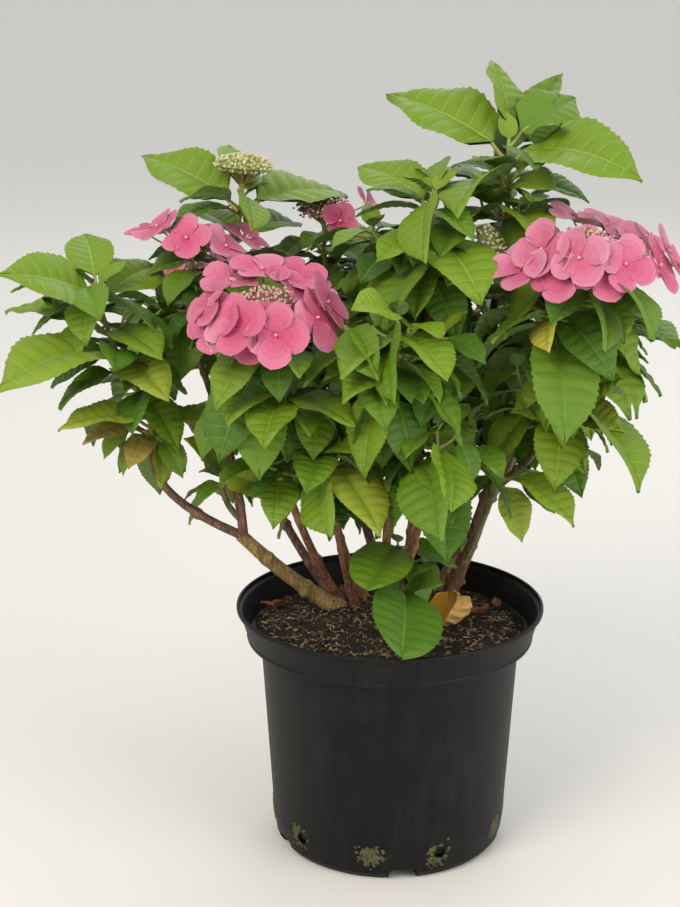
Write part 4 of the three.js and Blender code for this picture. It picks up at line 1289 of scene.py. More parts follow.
class HeadPlan:
    """A flower head before it opens: the middle of its dome, and the way it points."""

    def __init__(self, shoot: Shoot, line: Arc) -> None:
        """Sets the head on the tip of a shoot.

        Args:
            shoot: The shoot.
            line: Its line.
        """
        self.shoot, self.tip, self.axis = shoot, line.end, line.tangent(1)
        self.centre = self.tip + self.axis * HEAD.neck
        self.turn = Vector(UP).rotation_difference(Vector(self.axis)).to_matrix()
        self.is_open = shoot.head is HeadKind.LACE
        self.radius = HEAD.dome_radius if self.is_open else shoot.dome

    def out(self, angle: float, reach: float = 1, rise: float = 0) -> Array:
        """The way from its middle at an angle in radians, so far out and so far up."""
        return np.array(self.turn @ Vector((cos(angle) * reach, sin(angle) * reach, rise)))


class FloretPlan:
    """A large floret before it opens."""

    def __init__(self, head: HeadPlan, angle: float, ring: float, rise: float, tilt: float, spin: float) -> None:
        """Seats the floret.

        Args:
            head: Its head.
            angle: Where it sits round the head, in radians.
            ring: How far out it sits.
            rise: How far up it sits.
            tilt: Degrees by which it leans out.
            spin: Its turn about its own stalk, in radians.
        """
        self.head, self.spin, self.size = head, spin, head.shoot.bloom
        out = head.out(angle)
        self.seat = head.centre + out * ring + head.axis * rise
        self.normal = head.axis * cos(radians(tilt)) + out * sin(radians(tilt))

    def axes(self) -> tuple[Array, Array]:
        """Works out its frame.

        Returns:
            The way that its first sepal points, and the way across it.
        """
        first = np.cross(self.normal, RIGHT if abs(self.normal[2]) > 0.9 else UP)
        first = turned(first / norm(first), self.normal, self.spin)
        return first, np.cross(self.normal, first)

    def corners(self) -> list[Array]:
        """Works out the outline of its solid.

        Returns:
            Its eight corners.
        """
        first, across = self.axes()
        corners = []
        for k in range(8):
            radius = HEAD.floret_notch if k % 2 else HEAD.floret_radius
            out = first * cos(k * pi / 4) + across * sin(k * pi / 4)
            corners.append(self.seat + out * radius + self.normal * HEAD.floret_cup)
        return corners


@dataclass
class SepalShape:
    """The template of one sepal of a floret: a broad thin petal, cupped, with a wavy rim.

    Its rows are smaller copies of its outline, which is given by its reach at so many degrees from its midline.
    """

    length: float = 29
    spread: float = 53
    outline_at: tuple = (0, 5, 14, 26, 38, 47, 53)
    outline: tuple = (1, 0.985, 0.95, 0.9, 0.82, 0.72, 0.56)
    rows: int = 11
    columns: int = 9
    cup: float = 4
    thickness: float = 0.45

    def __post_init__(self) -> None:
        """Works out the template's grid, faces and colour zones: five steps from heart to rim, and the back, whose
        pale pink is brightened with painted light.
        """
        along = 1 - (1 - np.linspace(0, 1, self.rows)) ** 1.4
        u, v = np.meshgrid(along, np.linspace(-1, 1, self.columns), indexing="ij")
        self.u, self.v = u.ravel(), v.ravel()
        self.inner, self.faces = shell(self.rows, self.columns)
        strip = np.arange(self.rows - 1)[:, None].repeat(self.columns - 1, 1).ravel()
        self.zones = []
        for bounds in ((1, 3, 5, 8), (1, 2, 5, 7), (2, 4, 6, 9)):
            zone = np.digitize(strip, bounds)
            self.zones.append(np.concatenate((zone, zone, np.full(2 * len(zone), 5))))

    def grow(self, out: Array, across: Array, plan: FloretPlan, lift: float, luck: Luck) -> Array:
        """Lays the sepal out from the floret's middle.

        Args:
            out: The way it points.
            across: The way it spreads.
            plan: The floret.
            lift: How far it lies above its neighbours.
            luck: Draws its own size and waves.

        Returns:
            The corners in millimetres.
        """
        size = luck.uniform(0.92, 1.03) * plan.size
        turn = np.radians(self.spread) * luck.uniform(0.92, 1.05) * self.v
        outline = np.interp(np.abs(self.v) * self.spread, self.outline_at, self.outline)
        reach = 0.8 + self.length * size * self.u * outline
        radial, sideways = reach * np.cos(turn), reach * np.sin(turn)
        waves = luck.uniform(0.5, 1.5) * np.sin(luck.uniform(2.4, 4) * self.v + luck.uniform(0, 6)) * self.u ** 2
        waves += luck.uniform(0.3, 0.9) * np.sin(luck.uniform(4, 6) * self.u + luck.uniform(0, 6)) * self.v ** 2
        crease = -0.9 * (1 - np.abs(self.v)) * np.sin(pi * self.u)
        height = self.cup * self.u ** 1.4 * luck.uniform(0.5, 1.3) + waves + crease + lift * (0.3 + self.u)
        height -= 1.6 * np.abs(self.v) ** 3 * luck.uniform(0.2, 1.2)

        def lay(mask: Array, sunk: float) -> Array:
            """The corners that the mask picks, sunk below the face."""
            return (plan.seat + radial[mask, None] * out + sideways[mask, None] * across
                    + (height[mask, None] - sunk) * plan.normal)

        return np.concatenate((lay(np.ones(self.u.size, dtype=bool), 0), lay(self.inner, self.thickness)))


@dataclass
class GrownMass:
    """What has grown of one mass: its lines of wood, its leaves, and its flower heads."""

    mass: Mass
    hub: Array
    tree: kdtree.KDTree
    stems: list = field(default_factory=list)
    leaves: list = field(default_factory=list)
    waiting: list = field(default_factory=list)
    florets: list = field(default_factory=list)
    heads: list = field(default_factory=list)

    def has_corner(self, point: Array, near: float = 0.2) -> bool:
        """Whether the mass's solid has a corner at a point in millimetres."""
        return self.tree.find(Vector(point * MM))[2] < near * MM


@dataclass
class Crown:
    """Everything that grows above the canes: shoots, leaves, side twigs and flower heads.

    Clearances part leaves. Twig and tip sizes are for the finer growth. Florets that point back turn to the
    light, and no leaf stands within the face radius and reach before one. Windows are points on lines of sight
    that stay open, and bare says which stretch of which cane shows. Tucked, ramp and most say how florets that
    face alike pass behind one another. Taken holds points of all that has grown, and faces the seat and the
    normal of each floret.
    """

    fine_clearance: float = 5.5
    late_clearance: float = 6.0
    twig_share: float = 0.88
    twig_lean: float = 52
    twig_reach: float = 24
    twig_leaf: float = 0.56
    tip_leaf: float = 0.36
    back_from: float = -0.1
    back_turn: float = 1.2
    light_from: tuple = (0, -0.8, 0.6)
    face_radius: float = 22
    face_reach: float = 50
    bare_cane: str = "cane_right"
    bare_from: float = 0.3
    bare_to: float = 0.96
    bare_radius: float = 11
    view_from: tuple = (-45, -1624, 833)
    window_radius: float = 8.5
    windows: tuple = ((-170, 27, 433), (-169, 27, 417))
    tucked: float = 2.4
    tuck_ramp: float = 13
    tuck_most: float = 7
    alike: float = 0.72
    arcs: dict = field(default_factory=limb_arcs)
    masses: list = field(default_factory=list)
    taken: list = field(default_factory=list)
    faces: list = field(default_factory=list)
    blade: BladeShape = field(default_factory=BladeShape)
    small_blade: BladeShape = field(default_factory=lambda: BladeShape(
        veins=5, columns=(0.4, 1.0), vein_width=0.01))
    round_blade: BladeShape = field(default_factory=lambda: BladeShape(tooth=0.02, outline=(
        (0, 0.05), (0.04, 0.28), (0.12, 0.6), (0.25, 0.88), (0.4, 1.02), (0.55, 1.06), (0.7, 1.0), (0.82, 0.84),
        (0.91, 0.6), (0.97, 0.3), (1, 0.03))))
    sepal: SepalShape = field(default_factory=SepalShape)

    def grow(self) -> None:
        """Grows the solids' own leaves first, then those they left out, then the finer twigs."""
        for mass in MASSES:
            self.masses.append(self.start(mass))
        for step in (self.unfold, self.fill_in, self.side_twigs):
            for grown in self.masses:
                step(grown)

    def start(self, mass: Mass) -> GrownMass:
        """Plans a mass in the same order and with the same numbers as its solid.

        Args:
            mass: The mass.

        Returns:
            What it will grow.
        """
        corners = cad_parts[mass.name].data.vertices
        tree = kdtree.KDTree(len(corners))
        for number, corner in enumerate(corners):
            tree.insert(corner.co, number)
        tree.balance()
        luck = Stream(mass.seed)
        arc = self.arcs[mass.limb]
        foot = arc.point(1)
        hub = foot + arc.tangent(1) * mass.stem
        grown = GrownMass(mass, hub, tree)
        grown.stems.append((Arc(foot, (foot + hub) / 2, hub), SHOOT.radius + 0.8, SHOOT.radius + 0.4))
        for shoot in mass.shoots:
            start = foot + (hub - foot) * shoot.on
            end = start + bearing(shoot.towards, shoot.lean) * shoot.reach
            bend = start + bearing(shoot.towards, shoot.lean + shoot.bend) * shoot.reach * 0.5
            line = Arc(start, bend, end)
            grown.stems.append((line, SHOOT.radius + 0.2, SHOOT.radius * 0.8))
            if shoot.head is not HeadKind.NONE:
                self.plan_head(grown, HeadPlan(shoot, line), luck)
            grown.waiting += self.plan_leaves(shoot, line, luck)
        grown.waiting.sort(key=lambda plan: not plan.placed)
        return grown

    def plan_head(self, grown: GrownMass, head: HeadPlan, luck: Stream) -> None:
        """Plans a flower head and its florets: those that the solid has, and those that it leaves out.

        Args:
            grown: The mass.
            head: The head.
            luck: Draws what varies.
        """
        grown.heads.append(head)
        self.taken.append(np.array([head.centre, *(head.centre + head.out(angle, 20, 3) for angle in range(6))]))
        shoot = head.shoot
        for number in range(shoot.florets if head.is_open else 0):
            angle = (number + 0.3 * luck.draw()) * 2 * pi / shoot.florets
            ring = shoot.ring * (0.92 + 0.16 * luck.draw())
            rise = HEAD.ring_rise * (luck.draw() * 2 - 0.6)
            tilt = HEAD.floret_tilt + 16 * (luck.draw() - 0.5)
            plan = FloretPlan(head, angle, ring, rise, tilt, luck.draw() * pi)
            if any(grown.has_corner(corner) for corner in plan.corners()):
                self.open_floret(grown, plan)
        for towards, ring, rise in shoot.more:
            angle = radians(towards)
            self.open_floret(grown, FloretPlan(head, angle, ring, rise, HEAD.floret_tilt, angle * 3))

    def open_floret(self, grown: GrownMass, plan: FloretPlan) -> None:
        """Opens a floret, turned to the light where it points back, and keeps its place free of leaves.

        Args:
            grown: The mass.
            plan: The floret.
        """
        turn = max(0.0, min(1.0, (plan.normal[1] - self.back_from) / 0.4)) * self.back_turn
        plan.normal = plan.normal + turn * (plan.head.axis + np.array(self.light_from))
        plan.normal /= norm(plan.normal)
        grown.florets.append(plan)
        self.faces.append((plan.seat, plan.normal))
        corners = np.array(plan.corners())
        self.taken.append(np.concatenate(([plan.seat], corners, (corners + plan.seat) / 2)))

    def plan_leaves(self, shoot: Shoot, line: Arc, luck: Stream) -> list[LeafPlan]:
        """The leaves a shoot would carry, from its tip down: placed ones keep their bearings.

        Args:
            shoot: The shoot.
            line: Its line.
            luck: Draws what varies.

        Returns:
            The leaves.
        """
        placed = {(row[0], row[1]): row[2:] for row in shoot.placed}
        plans = []
        for pair in range(shoot.pairs):
            root = line.point(max(0.02, 1 - SHOOT.nodes[pair] / shoot.reach))
            for twin in range(2):
                turn = shoot.turn + 90 * pair + 180 * twin + luck.spread(SHOOT.turn_jitter)
                rise = shoot.rise - pair * SHOOT.rise_step + luck.spread(SHOOT.rise_jitter)
                roll = luck.spread(SHOOT.roll_jitter)
                length = shoot.leaf * SHOOT.sizes[pair] * (1 + luck.spread(SHOOT.size_jitter))
                row = placed.get((pair, twin))
                values = (*row, shoot.tint)[:6] if row else (turn, rise, roll, length, LEAF.arch, shoot.tint)
                plans.append(LeafPlan(root, *values, placed=row is not None))
        return plans

    def unfold(self, grown: GrownMass) -> None:
        """Grows the leaves that the mass's solid has, but for those in a window. The others go on waiting.

        Args:
            grown: The mass.
        """
        left = []
        for plan in grown.waiting:
            if not self.take(grown, plan, lambda blade: (
                    grown.has_corner(blade.tip()) and not self.blocks_view(blade.samples(), False))):
                left.append(plan)
        grown.waiting = left

    def take(self, grown: GrownMass, plan: LeafPlan, fits: Callable[[Blade], bool]) -> bool:
        """Grows a leaf at the first turn at which it fits.

        Args:
            grown: The mass.
            plan: The leaf.
            fits: Whether it may stay where it is.

        Returns:
            Whether it grew.
        """
        for retry in SHOOT.retries:
            blade = Blade(plan, retry)
            if fits(blade):
                grown.leaves.append(blade)
                self.taken.append(blade.samples())
                return True
        return False

    def has_room(self, grown: GrownMass, blade: Blade, clearance: float) -> bool:
        """Whether a leaf keeps inside its mass's room, off the faces of florets, and clear of all else.

        Args:
            grown: The mass.
            blade: The leaf.
            clearance: How far it keeps from others.

        Returns:
            Whether it has room.
        """
        samples = blade.samples()
        if norm(samples - grown.hub, axis=1).max() > grown.mass.room:
            return False
        ahead, aside = beside_rays(samples, *np.array(self.faces).transpose(1, 0, 2))
        over_face = (ahead > 0) & (ahead < self.face_reach) & (aside < self.face_radius)
        if over_face.any() or self.blocks_view(samples, True):
            return False
        others = np.concatenate(self.taken)
        near = others[norm(others - samples[6], axis=1) < blade.plan.length + clearance]
        return not len(near) or norm(near[None] - samples[:, None], axis=2).min() > clearance

    def blocks_view(self, samples: Array, is_new: bool) -> bool:
        """Whether a leaf closes a window that stays open through the crown, or hides the cane that shows bare.

        Args:
            samples: Points of the leaf.
            is_new: Whether it isn't one of the solid's own, which may hide the cane.

        Returns:
            Whether it does, seen from the front.
        """
        bare = self.arcs[self.bare_cane].point(np.linspace(self.bare_from, self.bare_to, 9))
        seats = np.concatenate((np.array(self.windows), bare)) if is_new else np.array(self.windows)
        views = np.array(self.view_from, dtype=float) - seats
        views /= norm(views, axis=1)[:, None]
        ahead, aside = beside_rays(samples, seats, views)
        count = len(self.windows)
        hidden = (ahead[count:] > 0) & (aside[count:] < self.bare_radius)
        return bool(hidden.any() or (aside[:count] < self.window_radius).any())

    def try_leaf(self, grown: GrownMass, plan: LeafPlan, clearance: float) -> bool:
        """Grows a leaf at the first turn that has room for it."""
        return self.take(grown, plan, lambda blade: self.has_room(grown, blade, clearance))

    def fill_in(self, grown: GrownMass) -> None:
        """Grows leaves that the solid had no room for, a little smaller.

        Args:
            grown: The mass.
        """
        for plan in grown.waiting:
            smaller = replace(plan, length=plan.length * 0.8, placed=False)
            self.try_leaf(grown, smaller, self.late_clearance)

    def side_twigs(self, grown: GrownMass) -> None:
        """Carries the rule on: a young pair on each leafy tip, and a short twig in the crook of most leaves.

        Args:
            grown: The mass.
        """
        luck = Stream(grown.mass.seed * 7 + 5)
        # Leaves on the side twigs sit a tint darker than their shoot: painted shade inside the crown.
        shade = {BRIGHT: MID, FRESH: BRIGHT, MID: DEEP, DEEP: SHADE}
        for number, shoot in enumerate(grown.mass.shoots):
            line = grown.stems[number + 1][0]
            if shoot.head is not HeadKind.LACE:
                rise, size = (58, self.tip_leaf) if shoot.head is HeadKind.NONE else (16, self.twig_leaf)
                for twin in range(2):
                    turn = shoot.turn + 45 + 180 * twin + luck.spread(20)
                    self.try_leaf(grown, LeafPlan(line.point(1), turn, rise + luck.spread(14), luck.spread(20),
                                                  shoot.leaf * size, 30, FRESH), 4.5)
            for pair in range(1, shoot.pairs):
                root = line.point(max(0.05, 1 - SHOOT.nodes[pair] / shoot.reach))
                for twin in range(2):
                    turn = shoot.turn + 90 * pair + 180 * twin + luck.spread(24)
                    lean = min(120, shoot.lean * 0.5 + self.twig_lean + luck.spread(20))
                    reach = self.twig_reach * (1 + luck.spread(0.4))
                    if luck.draw() > self.twig_share:
                        continue
                    bend = root + bearing(turn, lean + 18) * reach * 0.5
                    twig = Arc(root, bend, root + bearing(turn, lean) * reach)
                    tint = shade.get(shoot.tint, shoot.tint)
                    grew = False
                    for side in range(2):
                        for step, size in ((1.0, self.twig_leaf), (0.45, self.twig_leaf * 1.25)):
                            towards = turn + 90 * (2 * side - 1) * (1.1 - 0.4 * step) + luck.spread(18)
                            young = LeafPlan(
                                twig.point(step), towards, shoot.rise - 8 + luck.spread(22), luck.spread(24),
                                shoot.leaf * size * (1 + luck.spread(0.16)), LEAF.arch, tint)
                            grew |= self.try_leaf(grown, young, self.fine_clearance)
                    if grew:
                        grown.stems.append((twig, 1.7, 1.3))

    def make(self) -> list[Piece]:
        """Builds the leaves, twigs and blossom of every mass.

        Returns:
            The pieces.
        """
        pieces = []
        for grown in self.masses:
            luck = np.random.default_rng(grown.mass.seed)
            pieces.append(settle(self.make_leaves(grown, luck), "foliage", grown.mass.name))
            pieces.append(settle(self.make_twigs(grown), "foliage", grown.mass.name))
            if grown.heads:
                pieces.append(settle(self.make_blossom(grown, luck), "blossom", grown.mass.name))
        count = sum(len(grown.leaves) for grown in self.masses)
        LOG.info("%d leaves and %d florets", count, sum(len(grown.florets) for grown in self.masses))
        return pieces

    def make_leaves(self, grown: GrownMass, luck: Luck) -> Piece:
        """The blades and stalks of a mass.

        Args:
            grown: The mass.
            luck: Draws what varies.

        Returns:
            The piece.
        """
        parts = MeshParts()
        for blade in grown.leaves:
            shape = self.blade if blade.plan.length > 50 else self.small_blade
            if grown.mass.is_round and blade.plan.length > 50:
                shape = self.round_blade
            tint = self.deal_tint(blade, luck)
            finishes = [tint.value, VEINS[tint], UNDERSIDE]
            parts.add(shape.grow(blade, luck), shape.faces, finishes, shape.zones)
            self.stalk(parts, blade)
        return parts.build(f"{grown.mass.name}_leaves")

    def deal_tint(self, blade: Blade, luck: Luck) -> Tint:
        """A placed leaf keeps its tint. The others vary by a step about their spray's tint.

        Args:
            blade: The leaf.
            luck: Draws what varies.

        Returns:
            Its tint.
        """
        tint = blade.plan.tint
        if blade.plan.placed or tint not in LADDER:
            return tint
        step = LADDER.index(tint) + int(luck.choice((-1, 0, 0, 1)))
        return LADDER[max(0, min(len(LADDER) - 1, step))]

    def stalk(self, parts: MeshParts, blade: Blade) -> None:
        """A leaf stalk, which sags a little and runs on under the midrib.

        Args:
            parts: Gets the mesh.
            blade: The leaf.
        """
        length = blade.plan.length
        start = blade.plan.root - blade.stalk * 1.5
        run = blade.surface(np.array((0.04, 0.14, 0.26)), np.zeros(3), np.full(3, -0.9))
        sag = blade.base - UP * length * 0.012
        low = start * 0.5 + sag * 0.5 - UP * length * 0.008
        line = np.concatenate(([start, low, sag * 0.6 + run[0] * 0.4], run))
        thick = 0.9 + length * 0.009
        radii = np.array((thick * 1.35, thick, thick * 0.95, thick * 0.8, thick * 0.5, 0.25))
        tube(parts, line, radii, 6, LEAF_STALK)

    def make_twigs(self, grown: GrownMass) -> Piece:
        """The stem, shoots and side twigs of a mass, swollen where leaves leave them.

        Args:
            grown: The mass.

        Returns:
            The piece.
        """
        parts = MeshParts()
        for arc, thick, thin in grown.stems:
            steps = max(8, int(arc.length() / 3))
            shares = np.linspace(0, 1, steps)
            line = arc.point(shares)
            radii = thick + (thin - thick) * shares
            for node_at in SHOOT.nodes:
                away = (1 - shares) * arc.length() - node_at
                radii = radii * (1 + 0.28 * np.exp(-(away / 2.4) ** 2))
            tube(parts, line, radii, 9, SHOOT_STEM)
        for head in grown.heads:
            self.head_stalks(parts, head)
        for plan in grown.florets:
            low = plan.head.centre - plan.head.axis * 10
            seat = plan.seat - plan.normal * 1.2
            arc = Arc(low, (low + seat) / 4 + (seat - plan.normal * 18) / 2, seat)
            shares = np.linspace(0, 1, 14)
            others = [other for other in grown.florets if other is not plan]
            tube(parts, self.tuck(arc.point(shares), others), 1.0 - 0.25 * shares, 5, LEAF_STALK)
        return parts.build(f"{grown.mass.name}_twigs")

    def head_stalks(self, parts: MeshParts, head: HeadPlan) -> None:
        """The stalk of a head and the rays that fan out from it under the buds.

        Args:
            parts: Gets the mesh.
            head: The head.
        """
        axis = head.axis
        fork = head.centre - axis * 13
        line = np.linspace(head.tip - axis * 4, fork, 6)
        tube(parts, line, np.linspace(SHOOT.radius * 0.85, SHOOT.radius * 0.8, 6), 9, SHOOT_STEM)
        side = np.cross(axis, RIGHT if abs(axis[0]) < 0.9 else UP)
        side /= norm(side)
        for ray in range(19):
            out = turned(side, axis, ray * 2.399963) * head.radius * 0.86 * sqrt((ray + 0.5) / 19)
            arc = Arc(fork - axis * 1.5, fork + out * 0.35 + axis * 2, head.centre + out + axis * 1.0)
            tube(parts, arc.point(np.linspace(0, 1, 7)), np.linspace(1.1, 0.6, 7), 5, LEAF_STALK)

    def make_blossom(self, grown: GrownMass, luck: Luck) -> Piece:
        """The florets and domes of a mass, with small buds scattered over the domes.

        Args:
            grown: The mass.
            luck: Draws what varies.

        Returns:
            The piece.
        """
        parts = MeshParts()
        for head in grown.heads:
            self.dome(parts, head)
        for number, plan in enumerate(grown.florets):
            self.floret(parts, plan, grown.florets[:number], luck)
        piece = parts.build(f"{grown.mass.name}_blossom", sharp=60)
        for is_open in {head.is_open: None for head in grown.heads}:
            bud_tree(grown.mass.seed, not is_open).put_on(piece)
        return piece

    def dome(self, parts: MeshParts, head: HeadPlan) -> None:
        """The low dome that carries the buds, a little smaller than the buds' own outline.

        Args:
            parts: Gets the mesh.
            head: The head.
        """
        radius = head.radius - 1.5
        height = (HEAD.dome_height if head.is_open else HEAD.bud_dome_height) - 2
        profile = [(radius * cos(a), height * sin(a)) for a in np.linspace(0, 1.45, 9)]
        points, faces = lathe([(0, -1.5), *profile, (0, height)], 28)
        for point in points:
            point *= 1 + 0.16 * noise.noise(Vector(point * 0.09) + Vector(head.centre * 0.11))
        placed = points @ np.array(head.turn).T + head.centre
        parts.add(placed, faces, OPEN_BED if head.is_open else GREEN_BED)

    def floret(self, parts: MeshParts, plan: FloretPlan, fronts: list[FloretPlan], luck: Luck) -> None:
        """A large floret: four broad overlapping sepals round a small pale eye, tucked behind those before it.

        Args:
            parts: Gets the mesh.
            plan: The floret.
            fronts: Those before it.
            luck: Draws what varies.
        """
        first, across = plan.axes()
        fronts = [front for front in fronts if plan.normal @ front.normal > self.alike]
        tone = int(luck.integers(0, 3))
        for k in range(4):
            turn = k * pi / 2 + luck.uniform(-0.1, 0.1)
            out = first * cos(turn) + across * sin(turn)
            side = -first * sin(turn) + across * cos(turn)
            points = self.sepal.grow(out, side, plan, 0.9 if k % 2 else 0.0, luck)
            shade = max(0, min(2, tone + int(luck.integers(-1, 2))))
            # The back's finish carries painted light shining through the sepal.
            finishes = [*SEPAL_TONES[shade:shade + 5], SEPAL_BACK_PAINTED_LIGHT]
            zones = self.sepal.zones[int(luck.integers(0, 3))]
            parts.add(self.tuck(points, fronts), self.sepal.faces, finishes, zones)
        line = plan.seat + plan.normal * np.linspace(-1.2, 3.0, 7)[:, None]
        tube(parts, self.tuck(line, fronts), np.array((0.9, 0.9, 0.9, 1.2, 1.4, 1.1, 0.4)), 8, EYE)

    def tuck(self, points: Array, fronts: list[FloretPlan]) -> Array:
        """Bends points back where they lie across the faces of florets before them, so that they pass behind.

        Args:
            points: Points of a floret.
            fronts: The florets before it.

        Returns:
            The bent points.
        """
        for front in fronts:
            away = points - front.seat
            depth = away @ front.normal
            aside = norm(away - depth[:, None] * front.normal, axis=1)
            share = np.clip((HEAD.floret_radius * front.size + self.tuck_ramp - aside) / self.tuck_ramp, 0, 1)
            push = np.clip(depth + self.tucked, 0, self.tuck_most) * share
            points = points - front.normal * push[:, None]
        return points


def bud_tree(seed: int, is_bud: bool) -> NodeTree:
    """Buds of two colours, crowded over every face of the finish of the head's bed.

    Args:
        seed: Fixes where they fall.
        is_bud: Whether the head is unopened, with smaller and greener buds.

    Returns:
        The tree, which keeps what it is given and adds the buds.
    """
    spacing, radius, stalk = (0.0029, 0.0017, 0.0026) if is_bud else (0.0026, 0.0014, 0.0046)
    bed, ripe = (GREEN_BED, BUD_GREEN) if is_bud else (OPEN_BED, BUD_PINK)
    tree = NodeTree(f"{'green' if is_bud else 'open'}_buds_{seed}", Spacing=spacing, Radius=radius, Stalk=stalk,
                    Seed=seed)
    spread = tree.add("DistributePointsOnFaces", {
        "Mesh": tree.source, "Selection": tree.add("MaterialSelection", {"Material": bed.make()}),
        "Distance Min": tree.value("Spacing"), "Density Max": 160000.0, "Seed": tree.value("Seed")},
        distribute_method="POISSON")
    rise = tree.add("FunctionNodeRandomValue", {2: 0.15, 3: 1.0}, data_type="FLOAT")
    reach = tree.add("ShaderNodeMath", {0: rise, 1: tree.value("Stalk")}, operation="MULTIPLY")
    offset = tree.add("ShaderNodeVectorMath", {0: spread.outputs["Normal"], "Scale": reach}, operation="SCALE")
    lifted = tree.add("SetPosition", {"Geometry": spread, "Offset": offset})
    is_ripe = tree.add("FunctionNodeRandomValue", {6: 0.62, 8: 3}, data_type="BOOLEAN")
    is_other = tree.add("FunctionNodeBooleanMath", {0: is_ripe}, operation="NOT")
    size = tree.add("FunctionNodeRandomValue", {0: (0.7, 0.7, 0.8), 1: (1.15, 1.15, 1.35), 8: 5},
                    data_type="FLOAT_VECTOR")
    join = tree.add("JoinGeometry", {0: tree.source})
    for chosen, finish in ((is_ripe, ripe), (is_other, BUD_CREAM)):
        ball = tree.add("MeshIcoSphere", {"Radius": tree.value("Radius"), "Subdivisions": 2})
        smooth = tree.add("SetShadeSmooth", {"Geometry": ball})
        dressed = tree.add("SetMaterial", {"Geometry": smooth, "Material": finish.make()})
        connect(tree.tree, join, {0: tree.add("InstanceOnPoints", {
            "Points": lifted, "Selection": chosen, "Instance": dressed, "Rotation": spread.outputs["Rotation"],
            "Scale": size})})
    tree.finish(join)
    return tree


@dataclass
class Canes:
    """The woody canes and boughs, with flaking bark, swollen nodes and old buds."""

    step: float = 2.2
    sides: int = 18
    flare: float = 0.45
    flare_reach: float = 9
    sunk: float = 7
    node_gap: float = 46
    stub: str = "cane_right"

    def make(self, arcs: dict[str, Arc]) -> list[Piece]:
        """Builds each limb over its solid.

        Args:
            arcs: The limbs' lines.

        Returns:
            One piece a limb.
        """
        pieces = []
        for number, limb in enumerate(LIMBS):
            parts = MeshParts()
            self.limb(parts, limb, arcs[limb.name], np.random.default_rng(300 + number))
            pieces.append(settle(parts.build(f"{limb.name}_bark", sharp=70), "bark", limb.name))
        return pieces

    def limb(self, parts: MeshParts, limb: Limb, arc: Arc, luck: Luck) -> None:
        """One limb: its taper, root flare, ridges, nodes and buds.

        Args:
            parts: Gets the mesh.
            limb: The limb.
            arc: Its line.
            luck: Draws what varies.
        """
        length = arc.length()
        is_cane = not isinstance(limb.root[0], str)
        shares = np.linspace(0, 1, max(10, int(length / self.step)))
        line = arc.point(shares)
        along = shares * length
        if is_cane:
            line = np.concatenate(([line[0] - arc.tangent(0) * self.sunk], line))
            shares, along = np.concatenate(([0.0], shares)), np.concatenate(([0.0], along))
        radii = limb.thick + (limb.thin - limb.thick) * shares
        if is_cane:
            radii = radii * (1 + self.flare * np.exp(-along / self.flare_reach))
        angles = np.arange(self.sides) * 2 * pi / self.sides
        relief = np.ones((len(line), self.sides))
        for waves, depth in ((2, 0.035), (3, 0.045), (5, 0.04), (7, 0.03)):
            drift = luck.uniform(-0.03, 0.03) * along + luck.uniform(0, 6.28) + 0.5 * np.sin(
                along / luck.uniform(9, 24) + luck.uniform(0, 6))
            relief += depth * np.sin(waves * angles[None] + drift[:, None])
        relief += luck.normal(0, 0.012, relief.shape)
        turn = luck.uniform(0, 3)
        at = self.node_gap * luck.uniform(0.35, 0.8)
        while at < length - 8:
            away = (along - at)[:, None]
            relief += 0.13 * np.exp(-(away / 2.6) ** 2)
            for twin in range(2):
                off = np.angle(np.exp(1j * (angles - turn - twin * pi)))[None]
                relief += 0.42 * np.exp(-((away - 1.5) / 3.2) ** 2 - (off / 0.42) ** 2)
            turn += pi / 2
            at += self.node_gap * luck.uniform(0.75, 1.2)
        is_stub = limb.name == self.stub
        tube(parts, line, radii, self.sides, limb.bark.value, relief, tip=CUT_WOOD if is_stub else None)


